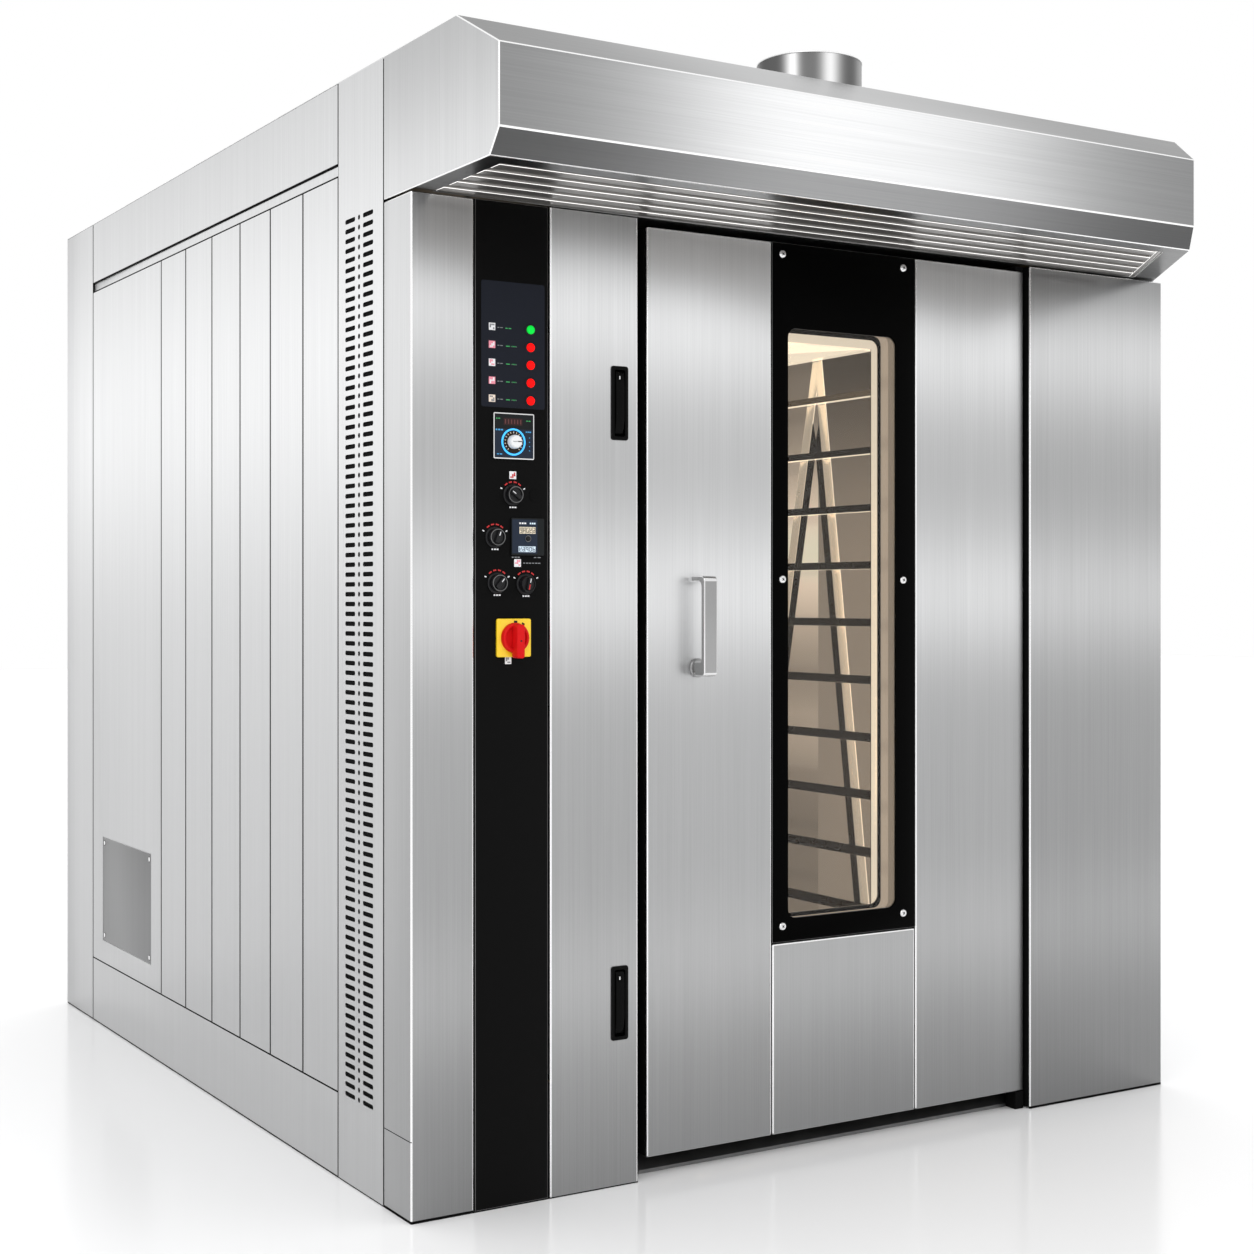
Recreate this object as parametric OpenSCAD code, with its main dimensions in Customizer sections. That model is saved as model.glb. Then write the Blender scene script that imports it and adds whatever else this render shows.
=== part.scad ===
// Rotating rack oven: stainless casing, steam hood, recessed glazed door, control column,
// and a tray rack that hangs from a driven hook inside the chamber. Millimetres, +Z up.
// X runs along the front, Y runs from the front to the back, the origin is under the middle.

/* [Casing] */
// Width of the casing
body_w = 2150; // [2100:10:2300]
// Depth of the casing behind its front plane
body_d = 2516; // [2450:10:2700]
// Height of the front panels, under the hood
front_h = 2092; // [2040:2:2180]
// Height of the hood, up to the roof
hood_h = 299; // [296:1:340]
// Thickness of the outer sheets
skin = 2; // [1.5:0.5:3]
// Width of the seams between outer sheets
seam = 3; // [2:0.5:5]
// Depth of the folded edges of the outer sheets
fold = 20; // [12:1:28]
// Gap between the outer sheets and the floor
skirt_gap = 3; // [2:1:8]
// Thickness of the mineral wool in the walls
wool_t = 100; // [60:5:120]

/* [Sides] */
// Depth of the front column's side face
corner_d = 136; // [110:2:160]
// Depth of the vent column
vent_d = 237; // [220:1:260]
// Number of planks on each side
plank_count = 6; // [3:1:7]
// Width of the wide panel behind the planks
wide_w = 646; // [590:1:700]
// Depth of the rear columns
rear_column_d = 279; // [200:1:320]
// Height of the kick bands
kick_h = 190; // [140:2:220]
// Height of the top bands
band_h = 178; // [150:2:220]
// Height of the stepped ledge under the top bands
ledge_h = 27; // [15:1:40]
// Step back of the ledge
ledge_step = 4; // [2:1:8]
// Width of the access plate
plate_w = 455; // [300:5:500]
// Height of the access plate
plate_h = 305; // [200:5:400]
// Height of the access plate's lower edge
plate_z = 255; // [230:5:400]
// Distance from the access plate to the rear column
plate_margin = 103; // [60:1:120]
// Radius of the access plate's screw heads
plate_screw_r = 7; // [4:0.5:10]
// Number of panels across the back
rear_count = 8; // [4:1:10]
// Number of panels along the roof
roof_count = 4; // [3:1:6]

/* [Vents] */
// Length of a vent slot
vent_slot_l = 53; // [40:1:60]
// Height of a vent slot
vent_slot_h = 10; // [6:0.5:12]
// Diameter of the round vent hole between two slots
vent_dot_d = 11; // [6:0.5:13]
// Pitch of the vent rows
vent_pitch = 21.2; // [18:0.1:26]
// Height of the lowest vent row
vent_z = 195; // [150:5:260]
// Distance between the middles of a slot and the round hole
vent_offset = 47; // [42:1:60]

/* [Front] */
// Width of the corner column's front face
column_w = 145; // [120:1:170]
// Width of the black control fascia
fascia_w = 172; // [165:1:200]
// Thickness of the fascia sheet
fascia_t = 3; // [2:0.5:4]
// Gap between the fascia and the service door
fascia_gap = 5; // [4:0.5:8]
// Width of the service door
service_w = 219; // [180:1:240]
// Width of the dark recess left of the oven door
recess_w = 32; // [24:1:45]
// Running gap between the oven door and the right panel
door_gap = 7; // [6:0.5:12]

/* [Oven door] */
// Width of the oven door
door_w = 1107; // [1090:1:1160]
// Height of the door's lower edge
door_z = 45; // [44:1:60]
// Distance from the door's upper edge to the top of the front panels
door_head = 12; // [10:1:24]
// Step back of the door face from the front plane
door_setback = 15; // [8:1:24]
// Thickness of the insulated door core
core_t = 68; // [50:1:72]
// Thickness of the door's outer skins
door_skin = 3; // [2:0.5:4]
// Width of the black window panel
window_panel_w = 421; // [400:1:450]
// Distance from the door's left edge to the window panel
window_panel_x = 337; // [300:1:360]
// Height of the window panel's lower edge
window_panel_z = 482; // [400:1:560]
// Width of the window
window_w = 317; // [260:1:330]
// Distance from the window panel's left edge to the window
window_x = 45; // [40:1:55]
// Height of the window's lower edge
window_z = 534; // [520:1:600]
// Distance from the window's upper edge to the door's upper edge
window_head = 193; // [120:1:380]
// Corner radius of the window
window_r = 22; // [8:1:40]
// Thickness of each glass pane
glass_t = 5; // [4:0.5:8]
// Overlap of the panes behind the window's edge
glass_lap = 9; // [5:1:12]
// Radius of the window screw heads
window_screw_r = 9; // [5:0.5:10]
// Thickness of the rubber gasket
gasket_t = 6; // [4:0.5:10]
// Width of the rubber gasket
gasket_w = 22; // [14:1:28]
// Radius of the door's pivot pins
pivot_r = 8; // [6:0.5:9]
// Distance of the pivots from the door's right edge and face
pivot_inset = 13; // [12:0.5:16]
// Running clearance of every pin in its bore
pin_fit = 0.05; // [0.02:0.01:0.08]

/* [Door handle] */
// Distance from the door's left edge to the handle's boss
handle_x = 131; // [100:1:180]
// Height of the handle's boss
handle_z = 1113; // [900:1:1300]
// Length of the lever between the boss and its upper end
handle_l = 204; // [150:1:240]
// Width of the lever
handle_w = 35; // [24:1:40]
// Thickness of the lever bar
handle_t = 13; // [9:1:18]
// How far the lever stands proud of the door
handle_reach = 56; // [44:1:64]
// Radius of the handle's spindle
spindle_r = 6; // [5:0.5:8]

/* [Hood] */
// How far the hood reaches in front of the front plane
hood_reach = 380; // [340:2:420]
// Where the hood's flat top ends, in front of the front plane
hood_flat = 203; // [150:1:260]
// Height of the hood's front face above its underside
hood_face_top = 206; // [180:2:220]
// Height of the lower edge of the hood's front face above its underside
hood_face_z = 48; // [30:2:70]
// Depth of the lower chamfer
hood_chamfer = 39; // [20:1:50]
// Gap between the front panels and the hood
hood_gap = 4; // [3:1:8]
// Distance of the hood's raked right end from the casing's right side
hood_inset = 24; // [10:1:60]
// Angle of the hood's raked right end
hood_rake = 36; // [0:1:40]
// Number of slats under the hood
slat_count = 5; // [3:1:5]
// Pitch of the slats
slat_pitch = 60; // [50:1:62]
// Width of a slat
slat_w = 36; // [24:1:40]
// Height of a slat
slat_h = 16; // [8:1:24]
// Radius of the exhaust collar
collar_r = 120; // [90:1:125]
// Height of the exhaust collar above the roof
collar_h = 100; // [70:5:160]
// Distance of the exhaust collar from the casing's left side
collar_x = 1010; // [600:5:1300]
// Distance of the exhaust collar's axis behind the front plane
collar_y = 8; // [0:1:10]

/* [Controls] */
// Radius of an indicator lamp
lamp_r = 11; // [8:0.5:13]
// Pitch of the indicator lamps
lamp_pitch = 37.2; // [30:0.2:42]
// Height of the lowest lamp above the thermostat's knob
lamp_rise = 88; // [72:1:110]
// Side of the square thermostat bezel
thermostat_s = 96; // [80:1:104]
// Distance from the thermostat's knob to the top of the front panels
thermostat_drop = 499; // [440:1:540]
// Height of the thermostat's middle above its knob
dial_rise = 12; // [0:1:16]
// Radius of the thermostat knob
thermostat_r = 15; // [10:0.5:20]
// Radius of a selector collar
collar_ring_r = 22.5; // [18:0.5:24]
// Radius of a selector knob
selector_r = 17; // [12:0.5:17.5]
// Length of a selector knob
selector_l = 20; // [12:1:30]
// Side of the square timer case
timer_s = 78; // [70:1:80]
// Distance from the thermostat's knob down to the main switch
switch_drop = 408; // [380:1:460]
// Side of the square main switch plate
switch_s = 80; // [70:1:100]
// Radius of the main switch knob
switch_r = 32; // [24:1:34]

/* [Chamber] */
// Width of the baking chamber
chamber_w = 1072; // [1060:2:1080]
// Depth of the baking chamber
chamber_d = 1100; // [1060:5:1160]
// Distance from the chamber's ceiling to the top of the front panels
chamber_head = 62; // [42:1:72]
// Thickness of the chamber's sheets
liner_t = 3; // [2:0.5:4]
// Thickness of the chamber floor
floor_t = 30; // [24:1:36]
// Height of the threshold's crest
threshold_h = 40; // [34:1:42]
// Thickness of the door frame
frame_t = 18; // [12:1:24]
// Overlap of the door over its frame's opening
door_lap = 60; // [50:1:80]
// Number of air slots in each air panel
air_slot_count = 9; // [5:1:11]
// Height of an air slot
air_slot_h = 130; // [80:2:150]

/* [Rack] */
// Width of the tray rack
rack_w = 600; // [520:5:640]
// Depth of the tray rack
rack_d = 800; // [700:5:820]
// Distance from the rack's top rails to the chamber's ceiling
rack_head = 105; // [95:1:140]
// Height of the lowest tray runner
runner_z = 322; // [280:1:340]
// Distance from the highest tray runner to the rack's top rails
runner_head = 146; // [120:1:200]
// Number of tray levels
runner_count = 11; // [6:1:11]
// Width of a tray runner's ledge
runner_w = 26; // [18:1:34]
// Side of the rack's corner posts
post_s = 32; // [24:1:40]
// Thickness of the rack's profiles
rack_t = 3; // [2:0.5:4]
// Radius of a castor wheel
wheel_r = 40; // [32:1:44]
// Width of a castor wheel
wheel_w = 30; // [20:1:34]
// Lift of the hanging rack's wheels above the chamber floor
wheel_lift = 10; // [5:1:16]
// Radius of the hook shaft
shaft_r = 20; // [16:1:24]

/* [Hidden] */
$fn = 48;

steel = "#c9cbcd";
dark_steel = "#8b8d90";
black = "#1b1b1d";
rubber = "#2c2a28";

// Main lines along the front, from the casing's left side
fascia_x = column_w;
service_x = fascia_x + fascia_w + fascia_gap;
recess_x = service_x + service_w;
post_x = recess_x - 39;
door_x = recess_x + recess_w;
door_x2 = door_x + door_w;
right_x = door_x2 + door_gap;

// Main lines from the front plane to the back
front_y = (hood_reach - body_d) / 2;
core_y = door_setback + door_skin;
core_back = core_y + core_t;
frame_y = core_back + gasket_t;
chamber_y = frame_y + frame_t;
chamber_y2 = chamber_y + chamber_d;
planks_y = corner_d + vent_d;
rear_y = body_d - rear_column_d;
wide_y = rear_y - wide_w;
plank_pitch = (wide_y - planks_y) / plank_count;

// The chamber and the rack share one vertical axis
axis_x = door_x + door_w / 2;
axis_y = chamber_y + chamber_d / 2;
chamber_x1 = axis_x - chamber_w / 2;
chamber_x2 = axis_x + chamber_w / 2;
opening_x1 = door_x + door_lap;
opening_x2 = door_x2 - door_lap;

// Heights
body_h = front_h + hood_gap + hood_h;
door_top = front_h - door_head;
opening_top = door_top - door_lap;
window_top = door_top - window_head;
chamber_h = front_h - chamber_head;
rack_top = chamber_h - rack_head;
runner_pitch = (rack_top - runner_head - runner_z) / (runner_count - 1);
thermostat_z = front_h - thermostat_drop;
lamp_z = thermostat_z + lamp_rise;
foot_h = 12;
base_h = 60;
base_z = foot_h + base_h;
panel_top = body_h - band_h - ledge_h;
loft_z = chamber_h + liner_t + wool_t;
side_top = body_h - skin;
wool_back = body_d - fold;
deck_y = chamber_y2 + 700;
touch = 0.3;

// Boxes, rods and extrusions in the casing's own lines
module placed() translate([-body_w / 2, front_y, 0]) children();
module box(x1, x2, y1, y2, z1, z2) translate([x1, y1, z1]) cube([x2 - x1, y2 - y1, z2 - z1]);
module rod_x(x1, x2, y, z, r) translate([x1, y, z]) rotate([0, 90, 0]) cylinder(h = x2 - x1, r = r);
module rod_y(x, y1, y2, z, r) translate([x, y2, z]) rotate([90, 0, 0]) cylinder(h = y2 - y1, r = r);
module rod_z(x, y, z1, z2, r) translate([x, y, z1]) cylinder(h = z2 - z1, r = r);
module along_x(x1, x2) translate([x1, 0, 0]) rotate([90, 0, 90]) linear_extrude(x2 - x1) children();
module along_y(y1, y2) translate([0, y2, 0]) rotate([90, 0, 0]) linear_extrude(y2 - y1) children();
module along_z(z1, z2) translate([0, 0, z1]) linear_extrude(z2 - z1) children();
module facing_front(x, z, y = 0) translate([x, y, z]) rotate([90, 0, 0]) children();
module on_right_side() translate([body_w, 0, 0]) mirror([1, 0, 0]) children();
module rect(x1, x2, y1, y2) translate([x1, y1]) square([x2 - x1, y2 - y1]);
module round_rect(x1, x2, y1, y2, r) {
    rect(x1 + r, x2 - r, y1, y2);
    rect(x1, x2, y1 + r, y2 - r);
    for (x = [x1 + r, x2 - r], y = [y1 + r, y2 - r]) translate([x, y]) circle(r);
}
module slot(x1, x2, y, h) {
    rect(x1 + h / 2, x2 - h / 2, y - h / 2, y + h / 2);
    for (x = [x1 + h / 2, x2 - h / 2]) translate([x, y]) circle(h / 2);
}

// A folded tray on the left side, seen from above: a sheet with two edges turned in
module side_tray(y1, y2) polygon([
    [0, y1], [fold, y1], [fold, y1 + skin], [skin, y1 + skin],
    [skin, y2 - skin], [fold, y2 - skin], [fold, y2], [0, y2]
]);
// The same for a tray that faces along Y; s is 1 when the edges turn towards +Y
module front_tray(x1, x2, y, t, d, s = 1) polygon([
    [x1, y], [x2, y], [x2, y + s * d], [x2 - t, y + s * d],
    [x2 - t, y + s * t], [x1 + t, y + s * t], [x1 + t, y + s * d], [x1, y + s * d]
]);

// ---------------------------------------------------------------- carcass

rail = base_h;
rail_t = 4;
module channel() polygon([
    [0, 0], [rail, 0], [rail, rail_t], [rail_t, rail_t],
    [rail_t, rail - rail_t], [rail, rail - rail_t], [rail, rail], [0, rail]
]);
module base_frame() color(dark_steel) placed() translate([0, 0, foot_h]) {
    inner_y = chamber_y2 + liner_t + wool_t;
    inner_x1 = chamber_x1 - liner_t;
    inner_x2 = chamber_x2 + liner_t;
    // Outer rails, inner rails beside the chamber, and cross rails between them
    along_y(fold + seam, wool_back) {
        translate([fold, 0]) channel();
        translate([body_w - fold, 0]) mirror([1, 0]) channel();
    }
    along_y(chamber_y, inner_y) {
        translate([inner_x1, 0]) mirror([1, 0]) channel();
        translate([inner_x2, 0]) channel();
    }
    along_x(fold + rail_t, body_w - fold - rail_t) {
        translate([inner_y, 0]) channel();
        translate([wool_back, 0]) mirror([1, 0]) channel();
    }
    along_x(fold + rail_t, inner_x1 - rail_t) translate([chamber_y, 0]) channel();
    along_x(inner_x2 + rail_t, body_w - fold - rail_t) translate([chamber_y, 0]) channel();
}

foot_r = 28;
module levelling_feet() color(rubber) placed()
    for (x = [fold + rail / 2, body_w - fold - rail / 2],
         y = [fold + seam + 40, body_d * 0.35, body_d * 0.65, wool_back - 40]) {
        rod_z(x, y, 0, 8, foot_r);
        rod_z(x, y, 8, foot_h, 10);
    }

// Threshold: entry slope, crest under the door, exit slope down to the chamber floor
sill_y = frame_y - 42;
module chamber_floor() color(steel) placed() {
    along_x(door_x, door_x2) polygon([
        [sill_y, 0], [sill_y, 8], [frame_y - 4, threshold_h], [chamber_y, threshold_h], [chamber_y, 0]
    ]);
    along_x(chamber_x1, chamber_x2) polygon([
        [chamber_y, 0], [chamber_y, threshold_h], [chamber_y + 30, threshold_h],
        [chamber_y + 70, floor_t], [chamber_y2, floor_t], [chamber_y2, 0]
    ]);
}

// Slabs of mineral wool behind the skins and over the chamber, each a piece of its own
module mineral_wool() color("#b9ae8c") placed() {
    x1 = fold;
    x2 = body_w - fold;
    top = body_h - fold;
    box(x1, x1 + wool_t, planks_y + fold, wool_back, base_z, top);
    box(x2 - wool_t, x2, corner_d, wool_back, base_z, top);
    box(x1 + wool_t + touch, x2 - wool_t - touch, wool_back - wool_t, wool_back, base_z, top);
    box(right_x + skin, x2 - wool_t - touch, chamber_y, chamber_y + wool_t, base_z, chamber_h);
    box(post_x, chamber_x1 - liner_t, chamber_y, planks_y, base_z, chamber_h);
    // Ceiling slab over the chamber and the heater space, pierced by the two shafts
    difference() {
        box(chamber_x1 - liner_t, chamber_x2 + liner_t, corner_d, deck_y, chamber_h + liner_t, loft_z);
        rod_z(axis_x, axis_y, chamber_h, loft_z + 10, shaft_r + 10);
        rod_z(axis_x, fan_y, chamber_h, loft_z + 10, fan_shaft_r + 10);
    }
}

grille_w = 520;
grille_count = 12;
grille_pitch = 34;
grille_drop = 530;
module chamber_liner() color(steel) placed() {
    difference() {
        box(chamber_x1 - liner_t, chamber_x2 + liner_t, chamber_y, deck_y, chamber_h, chamber_h + liner_t);
        rod_z(axis_x, axis_y, chamber_h - 1, chamber_h + liner_t + 1, shaft_r + 4);
        rod_z(axis_x, fan_y, chamber_h - 1, chamber_h + liner_t + 1, fan_shaft_r + 4);
    }
    // Rear wall with a return-air grille near its top
    along_y(chamber_y2, chamber_y2 + liner_t) difference() {
        rect(chamber_x1 - liner_t, chamber_x2 + liner_t, 0, chamber_h - touch);
        for (i = [0:grille_count - 1])
            slot(axis_x - grille_w / 2, axis_x + grille_w / 2, chamber_h - grille_drop + i * grille_pitch, grille_pitch / 2);
    }
}

// Side walls of the chamber: a sheet with tall air slots on the left, a plain one on the right
module air_wall() difference() {
    rect(chamber_y, chamber_y2, 0, chamber_h);
    step = (chamber_h - 2 * 100) / air_slot_count;
    for (i = [0:air_slot_count - 1], y = [0.28, 0.5, 0.72])
        rect(chamber_y + y * chamber_d - 9, chamber_y + y * chamber_d + 9,
             100 + (i + 0.5) * step - air_slot_h / 2, 100 + (i + 0.5) * step + air_slot_h / 2);
}
module air_panels() color("#d8cdb4") placed() {
    along_x(chamber_x1 - liner_t, chamber_x1) air_wall();
    along_x(chamber_x2, chamber_x2 + liner_t) rect(chamber_y, chamber_y2, 0, chamber_h);
}

tube_z1 = 700;
tube_z2 = chamber_h - 530;
module chamber_lamps() color("#ffdf9e") placed()
    for (x = [chamber_x1 + 22, chamber_x2 - 22]) {
        rod_z(x, chamber_y + 24, tube_z1, tube_z2, 14);
        box(x - 18, x + 18, chamber_y, chamber_y + 14, tube_z1 - 10, tube_z2 + 10);
    }

// ---------------------------------------------------------------- outer sheets

module corner_column() color(steel) placed() difference() {
    along_z(skirt_gap, front_h) polygon([
        [0, 0], [column_w - seam, 0], [column_w - seam, fold], [column_w - seam - skin, fold],
        [column_w - seam - skin, skin], [skin, skin], [skin, corner_d - seam - skin],
        [fold, corner_d - seam - skin], [fold, corner_d - seam], [0, corner_d - seam]
    ]);
    box(-1, skin / 2, -1, corner_d, kick_h - 25, kick_h - 23);
}

vent_rows = floor((panel_top - vent_z - 80) / vent_pitch);
vent_mid = corner_d + vent_d / 2 + 5;
module vent_column() color(steel) placed() {
    y1 = corner_d;
    y2 = planks_y - seam;
    along_x(0, skin) difference() {
        rect(y1, y2, skirt_gap, side_top);
        for (i = [0:vent_rows - 1]) {
            z = vent_z + i * vent_pitch;
            for (s = [-1, 1])
                slot(vent_mid + s * vent_offset - vent_slot_l / 2, vent_mid + s * vent_offset + vent_slot_l / 2, z, vent_slot_h);
            translate([vent_mid, z]) circle(vent_dot_d / 2);
        }
    }
    box(skin, fold, y1, y1 + skin, skirt_gap, side_top);
    box(skin, fold, y2 - skin, y2, skirt_gap, side_top);
}

plate_y2 = rear_y - plate_margin;
plate_y1 = plate_y2 - plate_w;
module side_planks() for (i = [0:plank_count - 1])
    along_z(kick_h, panel_top - seam)
        side_tray(planks_y + i * plank_pitch, planks_y + (i + 1) * plank_pitch - seam);
module wide_panel() along_z(kick_h, panel_top - seam) side_tray(wide_y, rear_y - seam);
module side_panels() color(steel) placed() {
    side_planks();
    difference() {
        wide_panel();
        box(-1, skin + 1, plate_y1 - 1, plate_y2 + 1, plate_z - 1, plate_z + plate_h + 1);
    }
    // Ledge that the access plate screws to, round the opening behind it
    difference() {
        box(skin, 2 * skin, plate_y1 - 20, plate_y2 + 20, plate_z - 20, plate_z + plate_h + 20);
        box(0, 3 * skin, plate_y1 + 30, plate_y2 - 30, plate_z + 30, plate_z + plate_h - 30);
        for (y = [plate_y1 + 16, plate_y2 - 16], z = [plate_z + 16, plate_z + plate_h - 16])
            rod_x(0, 3 * skin, y, z, 3);
    }
    on_right_side() {
        side_planks();
        wide_panel();
    }
}
module access_plate() color(dark_steel) placed() {
    difference() {
        box(0.5, skin, plate_y1, plate_y2, plate_z, plate_z + plate_h);
        for (y = [plate_y1 + 16, plate_y2 - 16], z = [plate_z + 16, plate_z + plate_h - 16])
            rod_x(0, skin + 1, y, z, plate_screw_r);
    }
    for (y = [plate_y1 + 16, plate_y2 - 16], z = [plate_z + 16, plate_z + plate_h - 16]) {
        rod_x(0, skin, y, z, plate_screw_r - touch);
        rod_x(skin, skin + 12, y, z, 3 - touch);
    }
}

// Plain columns: both rear corners, and the right side's column behind the front panel
module rear_column() along_z(skirt_gap, side_top) polygon([
    [0, rear_y], [fold, rear_y], [fold, rear_y + skin], [skin, rear_y + skin],
    [skin, body_d - skin], [5 * fold - skin, body_d - skin], [5 * fold - skin, body_d - fold],
    [5 * fold, body_d - fold], [5 * fold, body_d], [0, body_d]
]);
module side_columns() color(steel) placed() {
    rear_column();
    on_right_side() {
        rear_column();
        along_z(skirt_gap, side_top) side_tray(corner_d, planks_y - seam);
    }
}

module side_band_pair() {
    along_z(skirt_gap, kick_h - seam) side_tray(planks_y, rear_y - seam);
    // Top band with a stepped ledge along its lower edge
    along_y(planks_y, rear_y - seam) polygon([
        [0, side_top], [0, body_h - band_h], [ledge_step, body_h - band_h], [ledge_step, panel_top],
        [fold, panel_top], [fold, panel_top + skin], [ledge_step + skin, panel_top + skin],
        [ledge_step + skin, body_h - band_h + skin], [skin, body_h - band_h + skin], [skin, side_top]
    ]);
}
module side_bands() color(steel) placed() {
    side_band_pair();
    on_right_side() side_band_pair();
}

module rear_panels() color(steel) placed() {
    x1 = 5 * fold + seam;
    pitch = (body_w - 2 * x1 + seam) / rear_count;
    for (i = [0:rear_count - 1])
        along_z(skirt_gap, side_top)
            front_tray(x1 + i * pitch, x1 + (i + 1) * pitch - seam, body_d, skin, fold, -1);
}

// Roof sheets lie over the side sheets; each has a folded rib along its front and back edges
module roof_panels() color(steel) placed() {
    pitch = (body_d - corner_d + seam) / roof_count;
    rib_x = fold + seam;
    difference() {
        for (i = [0:roof_count - 1]) {
            y1 = corner_d + i * pitch;
            y2 = y1 + pitch - seam;
            box(0, body_w, y1, y2, side_top, body_h);
            for (y = [y1 + fold + skin, y2 - fold - 2 * skin])
                box(rib_x, body_w - rib_x, y, y + skin, body_h - fold, side_top);
        }
        for (p = supply_places) rod_z(p[0], body_d - p[1], side_top - 1, body_h + 1, p[2] + touch);
    }
}

// Cable gland and water union on the roof, near the rear left corner:
// distance from the left side, distance from the back, thread radius
supply_places = [[200, 220, 16], [320, 220, 13]];
module supply_fittings() color(dark_steel) placed()
    for (i = [0, 1]) {
        p = supply_places[i];
        translate([p[0], body_d - p[1], body_h]) difference() {
            union() {
                translate([0, 0, -30]) cylinder(h = 30, r = p[2]);
                cylinder(h = 9, r = p[2] + 8, $fn = 6);
                translate([0, 0, 9]) cylinder(h = 12, r = p[2] + 2);
                translate([0, 0, 21]) cylinder(h = 16, r = p[2] + 6, $fn = 6);
            }
            translate([0, 0, -31]) cylinder(h = 80, r = p[2] * 0.6);
        }
    }

module right_front_panel() color(steel) placed() along_z(skirt_gap, front_h) polygon([
    [right_x, 0], [body_w, 0], [body_w, corner_d - seam], [body_w - fold, corner_d - seam],
    [body_w - fold, corner_d - seam - skin], [body_w - skin, corner_d - seam - skin],
    [body_w - skin, skin], [right_x + skin, skin], [right_x + skin, frame_y], [right_x, frame_y]
]);

// ---------------------------------------------------------------- hood

hood_z = front_h + hood_gap;
hood_right = body_w - hood_inset;
function hood_outline(t) = [
    [corner_d - seam - t, hood_z + t], [corner_d - seam - t, body_h - t],
    [-hood_flat + t * 0.25, body_h - t], [-hood_reach + t, hood_z + hood_face_top - t * 0.6],
    [-hood_reach + t, hood_z + hood_face_z + t * 0.4], [-hood_reach + hood_chamfer + t * 0.6, hood_z + t]
];
// Everything right of the raked end, moved inwards by t
reach = body_d;
module beyond_rake(t) translate([hood_right - t / cos(hood_rake), 0, hood_z - 10])
    rotate([0, 0, -hood_rake]) translate([0, -reach / 2, 0]) cube([reach, reach, hood_h + 20]);
slats_y1 = -hood_reach + 85;
slats_y2 = slats_y1 + slat_count * slat_pitch;
module hood_shell() color(steel) placed() difference() {
    along_x(0, body_w) polygon(hood_outline(0));
    beyond_rake(0);
    difference() {
        along_x(skin, body_w - skin) polygon(hood_outline(skin));
        beyond_rake(skin);
    }
    // Slat opening in the underside, with its right edge along the rake
    difference() {
        box(slat_x, body_w, slats_y1, slats_y2, hood_z - 1, hood_z + skin + 1);
        beyond_rake(60);
    }
    rod_z(collar_x, collar_y, body_h - 10, body_h + 1, collar_r - skin);
}

module slat_profile() polygon([
    [0, 0], [slat_w, 0], [slat_w, slat_h], [slat_w - skin, slat_h],
    [slat_w - skin, skin], [skin, skin], [skin, slat_h], [0, slat_h]
]);
slat_x = 50;
slat_rim = 12;
slat_top = hood_z + slat_h + skin;
module hood_slats() color(steel) placed() {
    // Slats end just clear of the rim, and hang from the cross straps
    difference() {
        for (i = [0:slat_count - 1])
            along_x(slat_x + skin, body_w)
                translate([slats_y1 + (i + 0.5) * slat_pitch - slat_w / 2, hood_z]) slat_profile();
        beyond_rake(62 + slat_rim + skin);
    }
    for (x = [300, 900, 1500]) box(x, x + 20, slats_y1, slats_y2, slat_top - skin, slat_top);
    // Rim that lies on the hood's underside, with its right side along the rake
    difference() {
        box(slat_x - slat_rim, body_w, slats_y1 - slat_rim, slats_y2 + slat_rim, hood_z + skin, slat_top);
        beyond_rake(62);
        difference() {
            box(slat_x, body_w, slats_y1, slats_y2, hood_z, slat_top + 1);
            beyond_rake(62 + slat_rim);
        }
    }
}

module exhaust_collar() color(steel) placed() translate([collar_x, collar_y, body_h])
    rotate_extrude() polygon([
        [collar_r - skin, 0], [collar_r - skin, collar_h], [collar_r, collar_h], [collar_r, 5],
        [collar_r + 3, skin], [collar_r + 25, skin], [collar_r + 25, 0]
    ]);

// ---------------------------------------------------------------- controls

lamp_x = fascia_x + fascia_w * 0.75;
knob_x = fascia_x + fascia_w * 0.51;
selector_places = [
    [knob_x, thermostat_z - 110], [knob_x - 42, thermostat_z - 199],
    [knob_x - 37, thermostat_z - 294], [knob_x + 31, thermostat_z - 296]
];
timer_x = knob_x + 34;
timer_z = thermostat_z - 197;
switch_z = thermostat_z - switch_drop;
cutout = 2;

module control_fascia() color(black) placed() difference() {
    along_z(skirt_gap, front_h)
        front_tray(fascia_x, fascia_x + fascia_w, 0, fascia_t, fold + 25);
    for (i = [0:4]) rod_y(lamp_x, -1, fascia_t + 1, lamp_z + i * lamp_pitch, lamp_r - 1);
    for (p = selector_places) rod_y(p[0], -1, fascia_t + 1, p[1], 11);
    for (s = [[knob_x, thermostat_z + dial_rise, thermostat_s], [timer_x, timer_z, timer_s]])
        box(s[0] - s[2] / 2 + cutout, s[0] + s[2] / 2 - cutout, -1, fascia_t + 1,
            s[1] - s[2] / 2 + cutout, s[1] + s[2] / 2 - cutout);
    rod_y(knob_x, -1, fascia_t + 1, switch_z, 20);
}

module indicator_lamps() color("red") placed()
    for (i = [0:4]) facing_front(lamp_x, lamp_z + i * lamp_pitch) rotate_extrude() polygon([
        [0, -40], [lamp_r - 1 - touch, -40], [lamp_r - 1 - touch, 0], [lamp_r, 0], [lamp_r, 4],
        [lamp_r - 1.5, 5.5], [lamp_r * 0.6, 7.5], [lamp_r * 0.3, 8.4], [0, 8.7]
    ]);

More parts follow.
